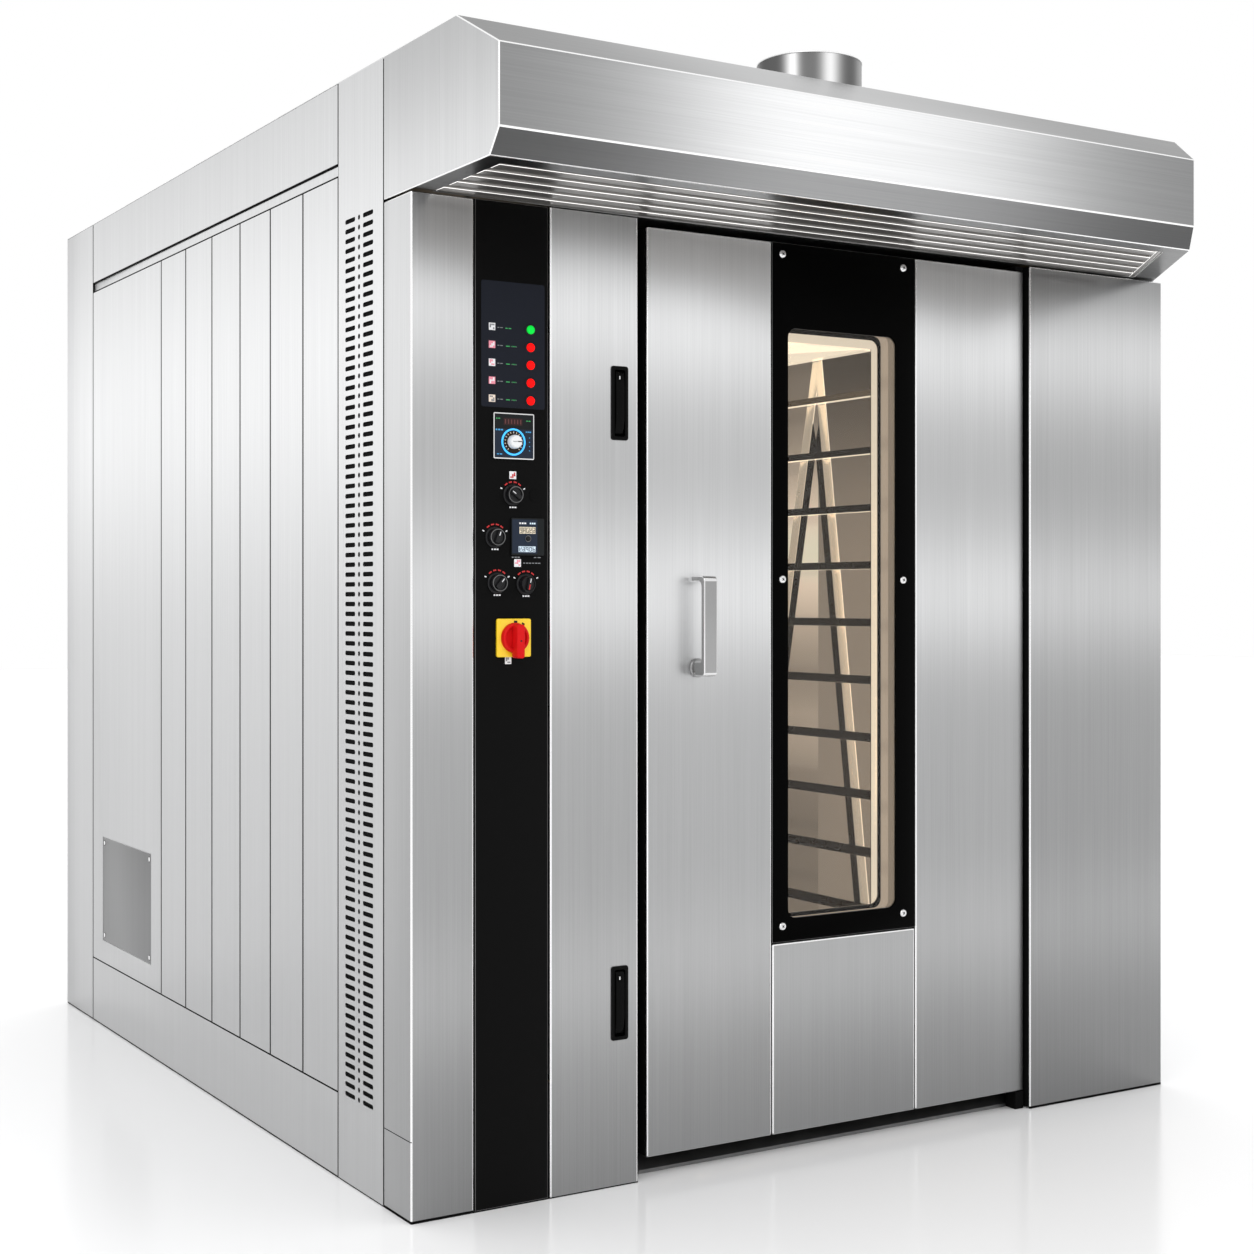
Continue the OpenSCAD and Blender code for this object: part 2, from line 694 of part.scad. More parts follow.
// A square instrument: bezel in front of the fascia, body through it, and a bore for its spindle,
// which lies below the instrument's middle by rise
module instrument(s, proud, deep, bore, rise = 0) difference() {
    translate([0, rise, 0]) {
        linear_extrude(proud) round_rect(-s / 2, s / 2, -s / 2, s / 2, 3);
        translate([-s / 2 + cutout + touch, -s / 2 + cutout + touch, -deep])
            cube([s - 2 * cutout - 2 * touch, s - 2 * cutout - 2 * touch, deep]);
    }
    translate([0, 0, -8]) cylinder(h = 40, r = bore);
}
module thermostat_bezel() color(dark_steel) placed() facing_front(knob_x, thermostat_z) difference() {
    instrument(thermostat_s, 6, 62, 4, dial_rise);
    translate([0, dial_rise, 3]) linear_extrude(10)
        round_rect(-thermostat_s / 2 + 5, thermostat_s / 2 - 5, -thermostat_s / 2 + 5, thermostat_s / 2 - 5, 2);
}
// A round knob: skirt, fluted or plain grip, spindle; z = 0 is the panel's face
module knob(r, l, base, bore) {
    translate([0, 0, base]) rotate_extrude() polygon([
        [0, 0], [r, 0], [r, 3], [r * 0.86, 4], [r * 0.8, l - 2], [r * 0.74, l], [0, l]
    ]);
    translate([0, 0, -6]) cylinder(h = base + 6, r = bore - pin_fit);
}
module thermostat_knob() color("white") placed() facing_front(knob_x, thermostat_z) {
    knob(thermostat_r, 16, 3.4, 4);
    translate([-1, thermostat_r * 0.2, 15]) cube([2, thermostat_r * 0.55, 5]);
}

module selector_collars() color(black) placed()
    for (p = selector_places) facing_front(p[0], p[1]) rotate_extrude() polygon([
        [4, -30], [11 - touch, -30], [11 - touch, 0], [collar_ring_r, 0], [collar_ring_r, 2.5],
        [collar_ring_r - 2, 4], [selector_r + 1.5, 4], [selector_r + 1, 3], [4, 3]
    ]);
// A selector knob: round skirt under a wing grip that points at the scale
module selector_knob(i) color("#333436") placed() facing_front(selector_places[i][0], selector_places[i][1]) {
    knob(selector_r, 8, 3.4, 4);
    difference() {
        translate([0, 0, 7]) linear_extrude(selector_l - 7) intersection() {
            circle(selector_r * 0.95);
            rect(-selector_r * 0.28, selector_r * 0.28, -selector_r, selector_r);
        }
        translate([-1, selector_r * 0.3, selector_l - 1]) cube([2, selector_r, 5]);
    }
}

button_r = 5;
button_place = [0, -4];
module timer_case() color(black) placed() facing_front(timer_x, timer_z) difference() {
    instrument(timer_s, 6, 70, 0.5);
    // Display window, keypad window and the button's bore
    translate([0, 0, 4.5]) linear_extrude(5) {
        rect(-24, 24, 10, 27);
        rect(-26, 26, -32, -18);
    }
    translate([button_place[0], button_place[1], -9]) cylinder(h = 20, r = button_r + touch);
}
module timer_button() color(dark_steel) placed()
    facing_front(timer_x + button_place[0], timer_z + button_place[1])
        rotate_extrude() polygon([
            [0, -5], [button_r, -5], [button_r, 8], [button_r - 1, 9], [0, 9.4]
        ]);

module switch_plate() color("#f2c81b") placed() facing_front(knob_x, switch_z) difference() {
    union() {
        linear_extrude(7) round_rect(-switch_s / 2, switch_s / 2, -switch_s / 2, switch_s / 2, 4);
        translate([0, 0, -60]) cylinder(h = 60, r = 20 - touch);
    }
    translate([0, 0, -8]) cylinder(h = 40, r = 6);
    for (x = [-1, 1], y = [-1, 1]) translate([x * (switch_s / 2 - 8), y * (switch_s / 2 - 8), 4]) cylinder(h = 6, r = 3.4);
}
module main_switch_knob() color("red") placed() facing_front(knob_x, switch_z) {
    translate([0, 0, 7.4]) rotate_extrude() polygon([
        [0, 0], [switch_r, 0], [switch_r, 6], [switch_r - 3, 9], [switch_r * 0.7, 11], [0, 11]
    ]);
    translate([0, 0, -6]) cylinder(h = 14, r = 6 - pin_fit);
    // Grip bar across the knob, rounded at both ends; its lower end points at the plate's scale
    translate([0, 0, 17]) linear_extrude(22) round_rect(-9, 9, -switch_r - 10, switch_r - 4, 4);
}

// ---------------------------------------------------------------- service door

service_hinge = [service_x + 6.5, 8];
hinge_pin_r = 3;
hinge_heights = [260, front_h / 2 - 6, front_h - 252];
tray_w = 43;
tray_h = 160;
tray_x = service_x + service_w - 26 - tray_w;
tray_heights = [315, front_h - 484];
tray_deep = 14;

module service_door() color(steel) placed() {
    difference() {
        along_z(skirt_gap, front_h) front_tray(service_x, recess_x, 0, skin, fold);
        // Openings for the swing-handle trays
        for (z = tray_heights)
            box(tray_x + 3, tray_x + tray_w - 3, -1, skin + 1, z + 3, z + tray_h - 3);
        // Notches where the hinge arms reach in from behind
        for (z = hinge_heights)
            box(service_x - 1, service_x + skin + 1, skin, fold + 1, z - 14, z + 2);
    }
    for (z = hinge_heights) difference() {
        union() {
            rod_z(service_hinge[0], service_hinge[1], z + 1, z + 27, 5.5);
            box(service_x + skin, service_hinge[0] + 5, skin, service_hinge[1], z + 1, z + 27);
        }
        rod_z(service_hinge[0], service_hinge[1], z, z + 28, hinge_pin_r + pin_fit);
    }
}
// Hinge arms of the service door: each reaches round the folded edge and carries a pin
module service_hinge_arms() for (z = hinge_heights) {
    box(fascia_x + fascia_w, service_hinge[0] + 3, fold + 14, fold + 20, z - 12, z);
    box(service_hinge[0] - 3, service_hinge[0] + 3, service_hinge[1] - 3, fold + 20, z - 12, z);
    rod_z(service_hinge[0], service_hinge[1], z, z + 25, hinge_pin_r);
}

lever_pivot = [6, 14];
lever_hole = 2.6;
module swing_handle_trays() color(black) placed()
    for (z = tray_heights) difference() {
        union() {
            along_y(-2.5, 0) round_rect(tray_x, tray_x + tray_w, z, z + tray_h, 6);
            box(tray_x + 3 + touch, tray_x + tray_w - 3 - touch, 0, tray_deep + 2, z + 3 + touch, z + tray_h - 3 - touch);
        }
        along_y(-5, tray_deep) round_rect(tray_x + 8, tray_x + tray_w - 8, z + 8, z + tray_h - 8, 4);
        rod_x(tray_x + 4.5, tray_x + tray_w - 4.5, lever_pivot[0], z + lever_pivot[1] + 4, lever_hole);
    }
// A swing lever: long curved grip with a lock barrel at its free end, turning on a cross pin
module swing_lever(z) color("#2a2b2d") placed() {
    x1 = tray_x + 9;
    x2 = tray_x + tray_w - 9;
    foot = z + lever_pivot[1] + 4;
    top = z + tray_h - 12;
    along_x(x1 + 2, x2 - 2) polygon([
        [2, foot - 4], [9, foot - 4], [10, foot + 6], [10, top - 4], [8, top], [0, top],
        [-4, top - 6], [-5, top - 30], [-5, foot + 30], [-2, foot + 8]
    ]);
    rod_x(tray_x + 4.8, tray_x + tray_w - 4.8, lever_pivot[0], foot, lever_hole - pin_fit);
    rod_y((x1 + x2) / 2, -6.5, 0, top - 14, 7);
}

// ---------------------------------------------------------------- oven door

pivot_x = door_x2 - pivot_inset;
pivot_y = door_setback + pivot_inset;
pivot_l = 28;
panel_x = door_x + window_panel_x;
panel_x2 = panel_x + window_panel_w;
win_x = panel_x + window_x;
win_x2 = win_x + window_w;
boss_x = door_x + handle_x;

// The frame behind the door: a flat ring round the opening, and the post left of the door
module door_frame() color(dark_steel) placed() {
    along_y(frame_y, frame_y + frame_t) difference() {
        rect(post_x, right_x + skin + fold, threshold_h, front_h);
        rect(opening_x1, opening_x2, threshold_h - 1, opening_top);
    }
    along_z(skirt_gap, front_h) front_tray(post_x, recess_x + 4, fold + 8, skin, frame_y - fold - 8);
}

// Door pivots, roller catch and service door hinges: the hardware that stays on the frame
module door_fittings() color("#a8abad") placed() {
    gap = 2;
    along_x(pivot_x - pivot_inset, pivot_x + pivot_inset)
        polygon([[pivot_y - 12, 0], [pivot_y - 12, door_z - gap], [sill_y, door_z - gap], [sill_y, 0]]);
    rod_z(pivot_x, pivot_y, door_z - gap, door_z + pivot_l, pivot_r);
    box(pivot_x - pivot_inset, pivot_x + pivot_inset, pivot_y - 12, frame_y, door_top + gap, front_h - 1);
    rod_z(pivot_x, pivot_y, door_top - pivot_l, door_top + gap, pivot_r);
    // Roller catch on the post, just clear of the door's edge
    box(recess_x + 4, recess_x + 20, frame_y - 34, frame_y, handle_z - 60, handle_z + 60);
    rod_z(recess_x + 20, frame_y - 22, handle_z - 14, handle_z + 14, 9);
    service_hinge_arms();
}

module window_hole(grow) round_rect(win_x - grow, win_x2 + grow, window_z - grow, window_top + grow, window_r);
module pivot_bores() {
    rod_z(pivot_x, pivot_y, door_z - 1, door_z + pivot_l + 2, pivot_r + pin_fit);
    rod_z(pivot_x, pivot_y, door_top - pivot_l - 2, door_top + 1, pivot_r + pin_fit);
}
// Steel inside the door: pivot blocks, the spindle's tube, and the pocket the catch roller runs in
module door_blocks() {
    for (z = [door_z, door_top - pivot_l - 8])
        box(pivot_x - pivot_inset, door_x2, core_y, pivot_y + pivot_inset + 7, z, z + pivot_l + 8);
    rod_y(boss_x, core_y, core_back, handle_z, 2 * spindle_r);
    box(door_x, door_x + 14, frame_y - 40, core_back, handle_z - 68, handle_z + 68);
}
module catch_pocket() box(door_x - 1, door_x + 10, frame_y - 36, core_back + 1, handle_z - 64, handle_z + 64);
reveal = glass_lap + 1;
// Core of pressed mineral wool that fills the door's pan
module door_core() color("#b9ae8c") placed() difference() {
    box(door_x + skin, door_x2 - skin, core_y, core_back - skin, door_z + skin, door_top - skin);
    along_y(core_y - 1, core_back) window_hole(reveal + skin);
    door_blocks();
}

// Three front sheets on a folded pan with a reveal round the window
module door_skins() color(steel) placed() {
    difference() {
        union() {
            box(door_x, panel_x - seam / 2, door_setback, core_y, door_z, door_top);
            box(panel_x2 + seam / 2, door_x2, door_setback, core_y, door_z, door_top);
            box(panel_x + seam / 2, panel_x2 - seam / 2, door_setback, core_y, door_z, window_panel_z - seam);
        }
        rod_y(boss_x, door_setback - 1, core_y + 1, handle_z, spindle_r + 1);
        pivot_bores();
    }
    difference() {
        union() {
            along_y(core_y, core_back) difference() {
                rect(door_x, door_x2, door_z, door_top);
                rect(door_x + skin, door_x2 - skin, door_z + skin, door_top - skin);
            }
            along_y(core_back - skin, core_back) rect(door_x, door_x2, door_z, door_top);
            along_y(core_y, core_back) window_hole(reveal + skin);
            door_blocks();
        }
        along_y(core_y - 1, core_back - skin) window_hole(reveal);
        along_y(core_y, core_back + 1) window_hole(0);
        pivot_bores();
        rod_y(boss_x, core_y - 1, core_back + 2, handle_z, spindle_r + pin_fit);
        catch_pocket();
    }
}

screw_places = [for (x = [win_x - 16, win_x2 + 22], z = [window_panel_z + 36, (window_panel_z + door_top) / 2 + 30, door_top - 26]) [x, z]];
module window_panel() color(black) placed() along_y(door_setback, core_y) difference() {
    rect(panel_x, panel_x2, window_panel_z, door_top);
    window_hole(0);
}
module window_glass() color("#d9c9a0") placed() {
    along_y(core_y, core_y + glass_t) window_hole(glass_lap);
    along_y(core_back - skin - glass_t, core_back - skin) window_hole(glass_lap);
}
module window_screws() color("white") placed()
    for (p = screw_places) facing_front(p[0], p[1], door_setback) rotate_extrude() polygon([
        [0, 0], [window_screw_r, 0], [window_screw_r, 1.2], [window_screw_r * 0.8, 2.8],
        [window_screw_r * 0.45, 3.8], [0, 4.1]
    ]);

// A ring of rubber round the opening, on the back of the door
module door_gasket() color(rubber) placed() along_y(core_back, frame_y - touch) difference() {
    rect(opening_x1 - gasket_w, opening_x2 + gasket_w, threshold_h + 22, opening_top + gasket_w);
    rect(opening_x1, opening_x2, threshold_h + 22 + gasket_w, opening_top);
}

// Handle: a stepped boss and spindle, an arm out of the boss and a flat bar that returns to the door
module door_handle() color(steel) placed() {
    face = door_setback;
    bar_front = face - handle_reach;
    rod_y(boss_x, face - 8, face - touch, handle_z, 21);
    rod_y(boss_x, face - 26, face - 8, handle_z, 15);
    rod_y(boss_x, face - 1, core_back, handle_z, spindle_r);
    along_x(boss_x - handle_w / 2, boss_x + handle_w / 2) difference() {
        round_rect(bar_front, face - 3, handle_z - handle_w / 2, handle_z + handle_l, 12);
        difference() {
            round_rect(bar_front + handle_t, face + 20, handle_z - handle_w, handle_z + handle_l - handle_t, 9);
            rect(bar_front, face - 16, handle_z - handle_w, handle_z + handle_w / 2 - 2);
        }
        rect(face - 16, face + 20, handle_z - handle_w, handle_z + handle_l - handle_t);
    }
}

// ---------------------------------------------------------------- rack

rack_x1 = axis_x - rack_w / 2;
rack_x2 = axis_x + rack_w / 2;
rack_y1 = axis_y - rack_d / 2;
rack_y2 = axis_y + rack_d / 2;
wheel_z = floor_t + wheel_lift + wheel_r;
fork_top = wheel_z + wheel_r + 12;
rack_z = fork_top + 4;

runner_lip = 20;
bumper = 10;

// An angle profile with its corner at the origin
module angle(a, b, t) polygon([[0, 0], [a, 0], [a, t], [t, t], [t, b], [0, b]]);
module rack_post() along_z(rack_z, rack_top) angle(post_s, post_s, rack_t);
module rack_half() {
    // Two posts, the runners between them, and the rails at the foot and the top of one side
    translate([rack_x1, rack_y1, 0]) rack_post();
    translate([rack_x1, rack_y2, 0]) mirror([0, 1, 0]) rack_post();
    for (i = [0:runner_count - 1]) {
        z = runner_z + i * runner_pitch;
        along_y(rack_y1 + rack_t, rack_y2 - rack_t) translate([rack_x1 + rack_t, z]) angle(runner_w, runner_lip, rack_t);
        // Bumper on the front post
        box(rack_x1 - bumper, rack_x1, rack_y1, rack_y1 + runner_lip, z, z + runner_lip);
    }
    for (z = [rack_z, rack_top - 30])
        along_y(rack_y1 + rack_t, rack_y2 - rack_t) translate([rack_x1 + rack_t, z]) angle(30, 30, rack_t);
}
yoke_r = 10;
yoke_z = rack_top + 22;
module rack_frame() color(steel) placed() {
    rack_half();
    translate([2 * axis_x, 0, 0]) mirror([1, 0, 0]) rack_half();
    for (y = [rack_y1, rack_y2 - rack_t]) {
        box(rack_x1, rack_x2, y, y + rack_t, rack_top - 30, rack_top);
        box(rack_x1, rack_x2, y, y + rack_t, rack_z, rack_z + 30);
    }
    // Two rails over the top carry the yoke bar that the hook holds
    for (s = [-1, 1]) {
        box(rack_x1, rack_x2, axis_y + s * 45 - 3, axis_y + s * 45 + 3, rack_top, rack_top + 40);
        box(rack_x1, rack_x1 + 30, axis_y + s * 45 - 3, axis_y + s * 45 + 3, rack_top - 30, rack_top);
        box(rack_x2 - 30, rack_x2, axis_y + s * 45 - 3, axis_y + s * 45 + 3, rack_top - 30, rack_top);
    }
    rod_y(axis_x, axis_y - 48, axis_y + 48, yoke_z, yoke_r);
}

// A-shaped braces, flat bars bolted to the outside of both sides
brace_w = 34;
brace_apex = -135;
brace_feet = [-rack_d / 2 + brace_w / 2 + 2, 235];
module brace_bar(foot) {
    top = [axis_y + brace_apex, rack_top - 15];
    base = [axis_y + foot, rack_z + 15];
    angle = atan2(top[1] - base[1], top[0] - base[0]);
    length = norm(top - base);
    translate(base) rotate(angle) {
        rect(0, length, -brace_w / 2, brace_w / 2);
        circle(brace_w / 2);
        translate([length, 0]) circle(brace_w / 2);
    }
}
module brace_pair() for (foot = brace_feet) brace_bar(foot);
module rack_braces() color(steel) placed() {
    along_x(rack_x2, rack_x2 + rack_t) brace_pair();
    along_x(rack_x1 - rack_t, rack_x1) brace_pair();
    for (x = [rack_x1 - rack_t - 4, rack_x2 + rack_t], foot = brace_feet) {
        rod_x(x, x + 4, axis_y + brace_apex, rack_top - 15, 7);
        rod_x(x, x + 4, axis_y + foot, rack_z + 15, 7);
    }
}

hook_bar_r = 9;
hook_ring_r = yoke_r + hook_bar_r + touch;
module hook_shaft() color(dark_steel) placed() translate([axis_x, axis_y, 0]) {
    // J-shaped hook round the yoke bar, riser, collar, and the shaft up through the gearbox
    translate([0, 0, yoke_z]) rotate([90, 0, 0]) rotate([0, 0, 180]) rotate_extrude(angle = 180)
        translate([hook_ring_r, 0]) circle(hook_bar_r);
    translate([hook_ring_r, 0, yoke_z]) cylinder(h = 30, r = hook_bar_r);
    translate([-hook_ring_r, 0, yoke_z]) cylinder(h = 6, r = hook_bar_r);
    translate([0, 0, yoke_z + 30]) cylinder(h = 12, r = hook_ring_r + hook_bar_r + 4);
    translate([0, 0, yoke_z + 42]) cylinder(h = loft_z + gearbox_h + 30 - yoke_z - 42, r = shaft_r);
}

castor_places = [for (x = [rack_x1 + 50, rack_x2 - 50], y = [rack_y1 + 70, rack_y2 - 70]) [x, y]];
axle_r = 6;
fork_t = 4;
module castor_fork() {
    half = wheel_w / 2 + 2;
    translate([-half - fork_t, -34, fork_top - wheel_z - fork_t]) cube([2 * half + 2 * fork_t, 68, fork_t]);
    translate([-34, -38, fork_top - wheel_z]) cube([68, 76, 4]);
    for (x = [-half - fork_t, half]) translate([x, 0, 0]) rotate([90, 0, 90]) linear_extrude(fork_t) {
        circle(14);
        polygon([[-14, 0], [14, 0], [26, fork_top - wheel_z - 1], [-26, fork_top - wheel_z - 1]]);
    }
    rod_x(-half - fork_t - 5, half + fork_t + 5, 0, 0, axle_r);
}
module castor_forks() color(dark_steel) placed()
    for (p = castor_places) translate([p[0], p[1], wheel_z]) castor_fork();
module castor_wheel(i) color("#5d5a55") placed() translate([castor_places[i][0], castor_places[i][1], wheel_z])
    rotate([0, 90, 0]) rotate_extrude() polygon([
        [axle_r + pin_fit, -wheel_w / 2 - 1], [axle_r + 6, -wheel_w / 2 - 1], [axle_r + 6, -wheel_w / 2 + 5],
        [wheel_r - 12, -wheel_w / 2 + 5], [wheel_r - 9, -wheel_w / 2], [wheel_r - 3, -wheel_w / 2],
        [wheel_r, -wheel_w / 2 + 4], [wheel_r, wheel_w / 2 - 4], [wheel_r - 3, wheel_w / 2],
        [wheel_r - 9, wheel_w / 2], [wheel_r - 12, wheel_w / 2 - 5], [axle_r + 6, wheel_w / 2 - 5],
        [axle_r + 6, wheel_w / 2 + 1], [axle_r + pin_fit, wheel_w / 2 + 1]
    ]);

// ---------------------------------------------------------------- drives and heat

gearbox_h = 120;
module gearmotor() color("#4f6f8f") placed() translate([axis_x, axis_y, loft_z]) {
    difference() {
        union() {
            translate([-110, -90, 0]) cube([220, 180, 10]);
            translate([-80, -70, 10]) cube([160, 140, gearbox_h - 10]);
            cylinder(h = gearbox_h + 12, r = shaft_r + 18);
        }
        translate([0, 0, -1]) cylinder(h = gearbox_h + 30, r = shaft_r + pin_fit);
    }
    // Foot-mounted motor beside the box, with cooling fins and a fan cowl
    translate([80, 0, gearbox_h / 2 + 5]) rotate([0, 90, 0]) {
        cylinder(h = 14, r = 55);
        for (i = [0:7]) translate([0, 0, 14 + i * 20]) {
            cylinder(h = 20, r = 42);
            cylinder(h = 6, r = 50);
        }
        translate([0, 0, 174]) cylinder(h = 46, r = 53);
    }
}

fan_x = axis_x;
fan_y = chamber_y2 + 420;
fan_r = 240;
fan_z = chamber_h - 330;
fan_shaft_r = 14;
module fan_motor() color("#4f6f8f") placed() translate([fan_x, fan_y, loft_z]) difference() {
    union() {
        translate([-150, -150, 0]) cube([300, 300, 10]);
        cylinder(h = 16, r = 100);
        for (i = [0:5]) translate([0, 0, 16 + i * 22]) {
            cylinder(h = 22, r = 78);
            cylinder(h = 7, r = 90);
        }
        translate([0, 0, 148]) cylinder(h = 50, r = 92);
    }
    translate([0, 0, -1]) cylinder(h = 121, r = fan_shaft_r + pin_fit);
}
module fan_impeller() color(dark_steel) placed() translate([fan_x, fan_y, fan_z]) {
    cylinder(h = 4, r = fan_r);
    translate([0, 0, -140]) difference() {
        cylinder(h = 4, r = fan_r);
        translate([0, 0, -1]) cylinder(h = 6, r = fan_r * 0.62);
    }
    for (a = [0:30:330]) rotate([0, 0, a]) translate([fan_r - 70, 0, -138]) rotate([0, 0, 35])
        cube([66, 3, 140]);
    translate([0, 0, -30]) cylinder(h = 40, r = 34);
    cylinder(h = loft_z + 100 - fan_z, r = fan_shaft_r);
}

// A bank of U-shaped tubular heaters on a carrier plate
heater_r = 8;
module heater_bank() color("#6b5b4e") placed() {
    x1 = chamber_x1 + 186;
    x2 = chamber_x2 - 186;
    y = chamber_y2 + liner_t + 180;
    pitch = (chamber_h - 630) / 10;
    box(x2, x2 + 4, chamber_y2 + liner_t, y + 160, 420, chamber_h - 550);
    for (i = [0:6]) for (j = [0, 1]) translate([0, y + j * 100, 480 + i * pitch]) {
        for (z = [0, 70]) rod_x(x1, x2, 0, z, heater_r);
        translate([x1, 0, 35]) rotate([90, 0, 0]) rotate([0, 0, 90]) rotate_extrude(angle = 180)
            translate([35, 0]) circle(heater_r);
    }
}

// Steam generator: a stack of cascade trays between two cheeks
module steam_generator() color(dark_steel) placed() {
    x1 = chamber_x1 + 116;
    x2 = chamber_x2 - 116;
    y = wool_back - wool_t - 140;
    top = chamber_h - 680;
    pitch = (top - base_z - 288) / 9;
    for (x = [x1 - 5, x2]) box(x, x + 5, y - 10, y + 140, base_z + 200, top);
    for (i = [0:8]) along_x(x1, x2) translate([y, base_z + 230 + i * pitch])
        polygon([[0, 0], [120, 0], [120, 60], [115, 60], [115, 5], [5, 5], [5, 30], [0, 30]]);
}

// Switchgear: a mounting plate with rails, contactors, relays and terminals, behind the service door
module switchgear() color("#d9dadb") placed() {
    plate = planks_y - 40;
    rails = [for (i = [0:4]) 500 + i * (front_h - 892) / 4];
    box(60, post_x, plate, plate + skin, 300, front_h - 192);
    for (z = rails) box(80, 460, plate - 8, plate, z - 17, z + 17);
    // A row of devices on a rail: count, first edge, pitch, width, depth and half height
    for (row = [[0, 20, 90, 17, 14, 40, 20], [1, 1, 110, 0, 190, 122, 90], [2, 5, 90, 60, 52, 82, 45],
                [3, 4, 95, 80, 70, 102, 50], [4, 8, 90, 36, 32, 62, 35]])
        for (i = [0:row[1] - 1])
            box(row[2] + i * row[3], row[2] + i * row[3] + row[4], plate - 8 - row[5], plate - 8,
                rails[row[0]] - row[6], rails[row[0]] + row[6]);
}

base_frame();
levelling_feet();
chamber_floor();
corner_column();
vent_column();
side_panels();
side_columns();
side_bands();
access_plate();
rear_panels();
roof_panels();
right_front_panel();
mineral_wool();
supply_fittings();
control_fascia();
indicator_lamps();
thermostat_bezel();
selector_collars();
timer_case();
switch_plate();
hood_shell();
hood_slats();
exhaust_collar();
chamber_liner();
air_panels();
door_frame();
door_fittings();
gearmotor();
fan_motor();
heater_bank();
steam_generator();
chamber_lamps();
switchgear();
fan_impeller();
thermostat_knob();
selector_knob(0);  // selector_knob_1
selector_knob(1);  // selector_knob_2
selector_knob(2);  // selector_knob_3
selector_knob(3);  // selector_knob_4
timer_button();
main_switch_knob();
service_door();
swing_handle_trays();
swing_lever(tray_heights[1]);  // swing_lever_upper
swing_lever(tray_heights[0]);  // swing_lever_lower
door_core();
door_skins();
window_panel();
window_glass();
window_screws();
door_gasket();
door_handle();
rack_frame();
rack_braces();
hook_shaft();
castor_forks();
castor_wheel(0);  // castor_wheel_1
castor_wheel(1);  // castor_wheel_2
castor_wheel(2);  // castor_wheel_3
castor_wheel(3);  // castor_wheel_4
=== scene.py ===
"""Looks of a rotating rack oven: brushed casing, steam hood, glazed door and its control column.

Every length is in metres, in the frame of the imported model: X runs along the front, Y from the
front to the back and Z up from the floor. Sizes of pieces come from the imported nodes' boxes.
"""

import logging
import math
from dataclasses import dataclass, field
from enum import Enum
from typing import Callable, Dict, Iterable, List, Optional, Sequence, Tuple, Union

import bpy
from mathutils import Matrix, Vector


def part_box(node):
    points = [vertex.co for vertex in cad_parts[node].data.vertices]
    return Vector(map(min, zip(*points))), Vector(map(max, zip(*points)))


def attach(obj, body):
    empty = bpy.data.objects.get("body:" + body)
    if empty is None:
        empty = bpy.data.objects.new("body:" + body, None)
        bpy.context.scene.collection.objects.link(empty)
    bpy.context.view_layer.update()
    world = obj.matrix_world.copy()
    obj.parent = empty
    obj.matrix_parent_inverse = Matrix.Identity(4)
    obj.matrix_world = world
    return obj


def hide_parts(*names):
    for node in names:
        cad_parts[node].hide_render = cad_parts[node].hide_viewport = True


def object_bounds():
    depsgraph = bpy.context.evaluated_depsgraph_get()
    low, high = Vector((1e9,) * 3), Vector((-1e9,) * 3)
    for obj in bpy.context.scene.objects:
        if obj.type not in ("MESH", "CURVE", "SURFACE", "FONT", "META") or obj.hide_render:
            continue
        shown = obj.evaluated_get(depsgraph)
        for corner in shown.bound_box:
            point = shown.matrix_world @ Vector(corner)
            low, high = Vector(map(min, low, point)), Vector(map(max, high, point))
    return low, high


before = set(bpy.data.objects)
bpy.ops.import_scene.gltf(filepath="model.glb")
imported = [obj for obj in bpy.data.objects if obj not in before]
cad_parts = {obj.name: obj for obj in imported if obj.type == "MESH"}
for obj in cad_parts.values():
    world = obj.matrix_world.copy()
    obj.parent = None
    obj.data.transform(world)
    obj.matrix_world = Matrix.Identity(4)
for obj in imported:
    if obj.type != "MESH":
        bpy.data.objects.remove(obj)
CAD_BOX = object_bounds()

logging.basicConfig(level=logging.INFO, format="%(levelname)s %(message)s")
LOG = logging.getLogger("rack_oven")

MM = 0.001
LEFT = CAD_BOX[0][0]
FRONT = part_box("corner_column")[0][1]
Colour = Tuple[float, float, float]
Point = Tuple[float, float, float]
Stops = Sequence[Tuple[float, Colour]]


def grey(level: float, warmth: float = 0.0) -> Colour:
    """Return a linear grey of a display level from 0 to 255, made warmer or cooler by warmth."""
    linear = (level / 255.0) ** 2.2
    return (linear * (1.0 + warmth), linear, linear * (1.0 - warmth))


def spot(x: float, y: float, z: float) -> Point:
    """Return a place given in millimetres right of, behind and above the casing's left front foot."""
    return (LEFT + x * MM, FRONT + y * MM, z * MM)


# ------------------------------------------------------------------ shader maths


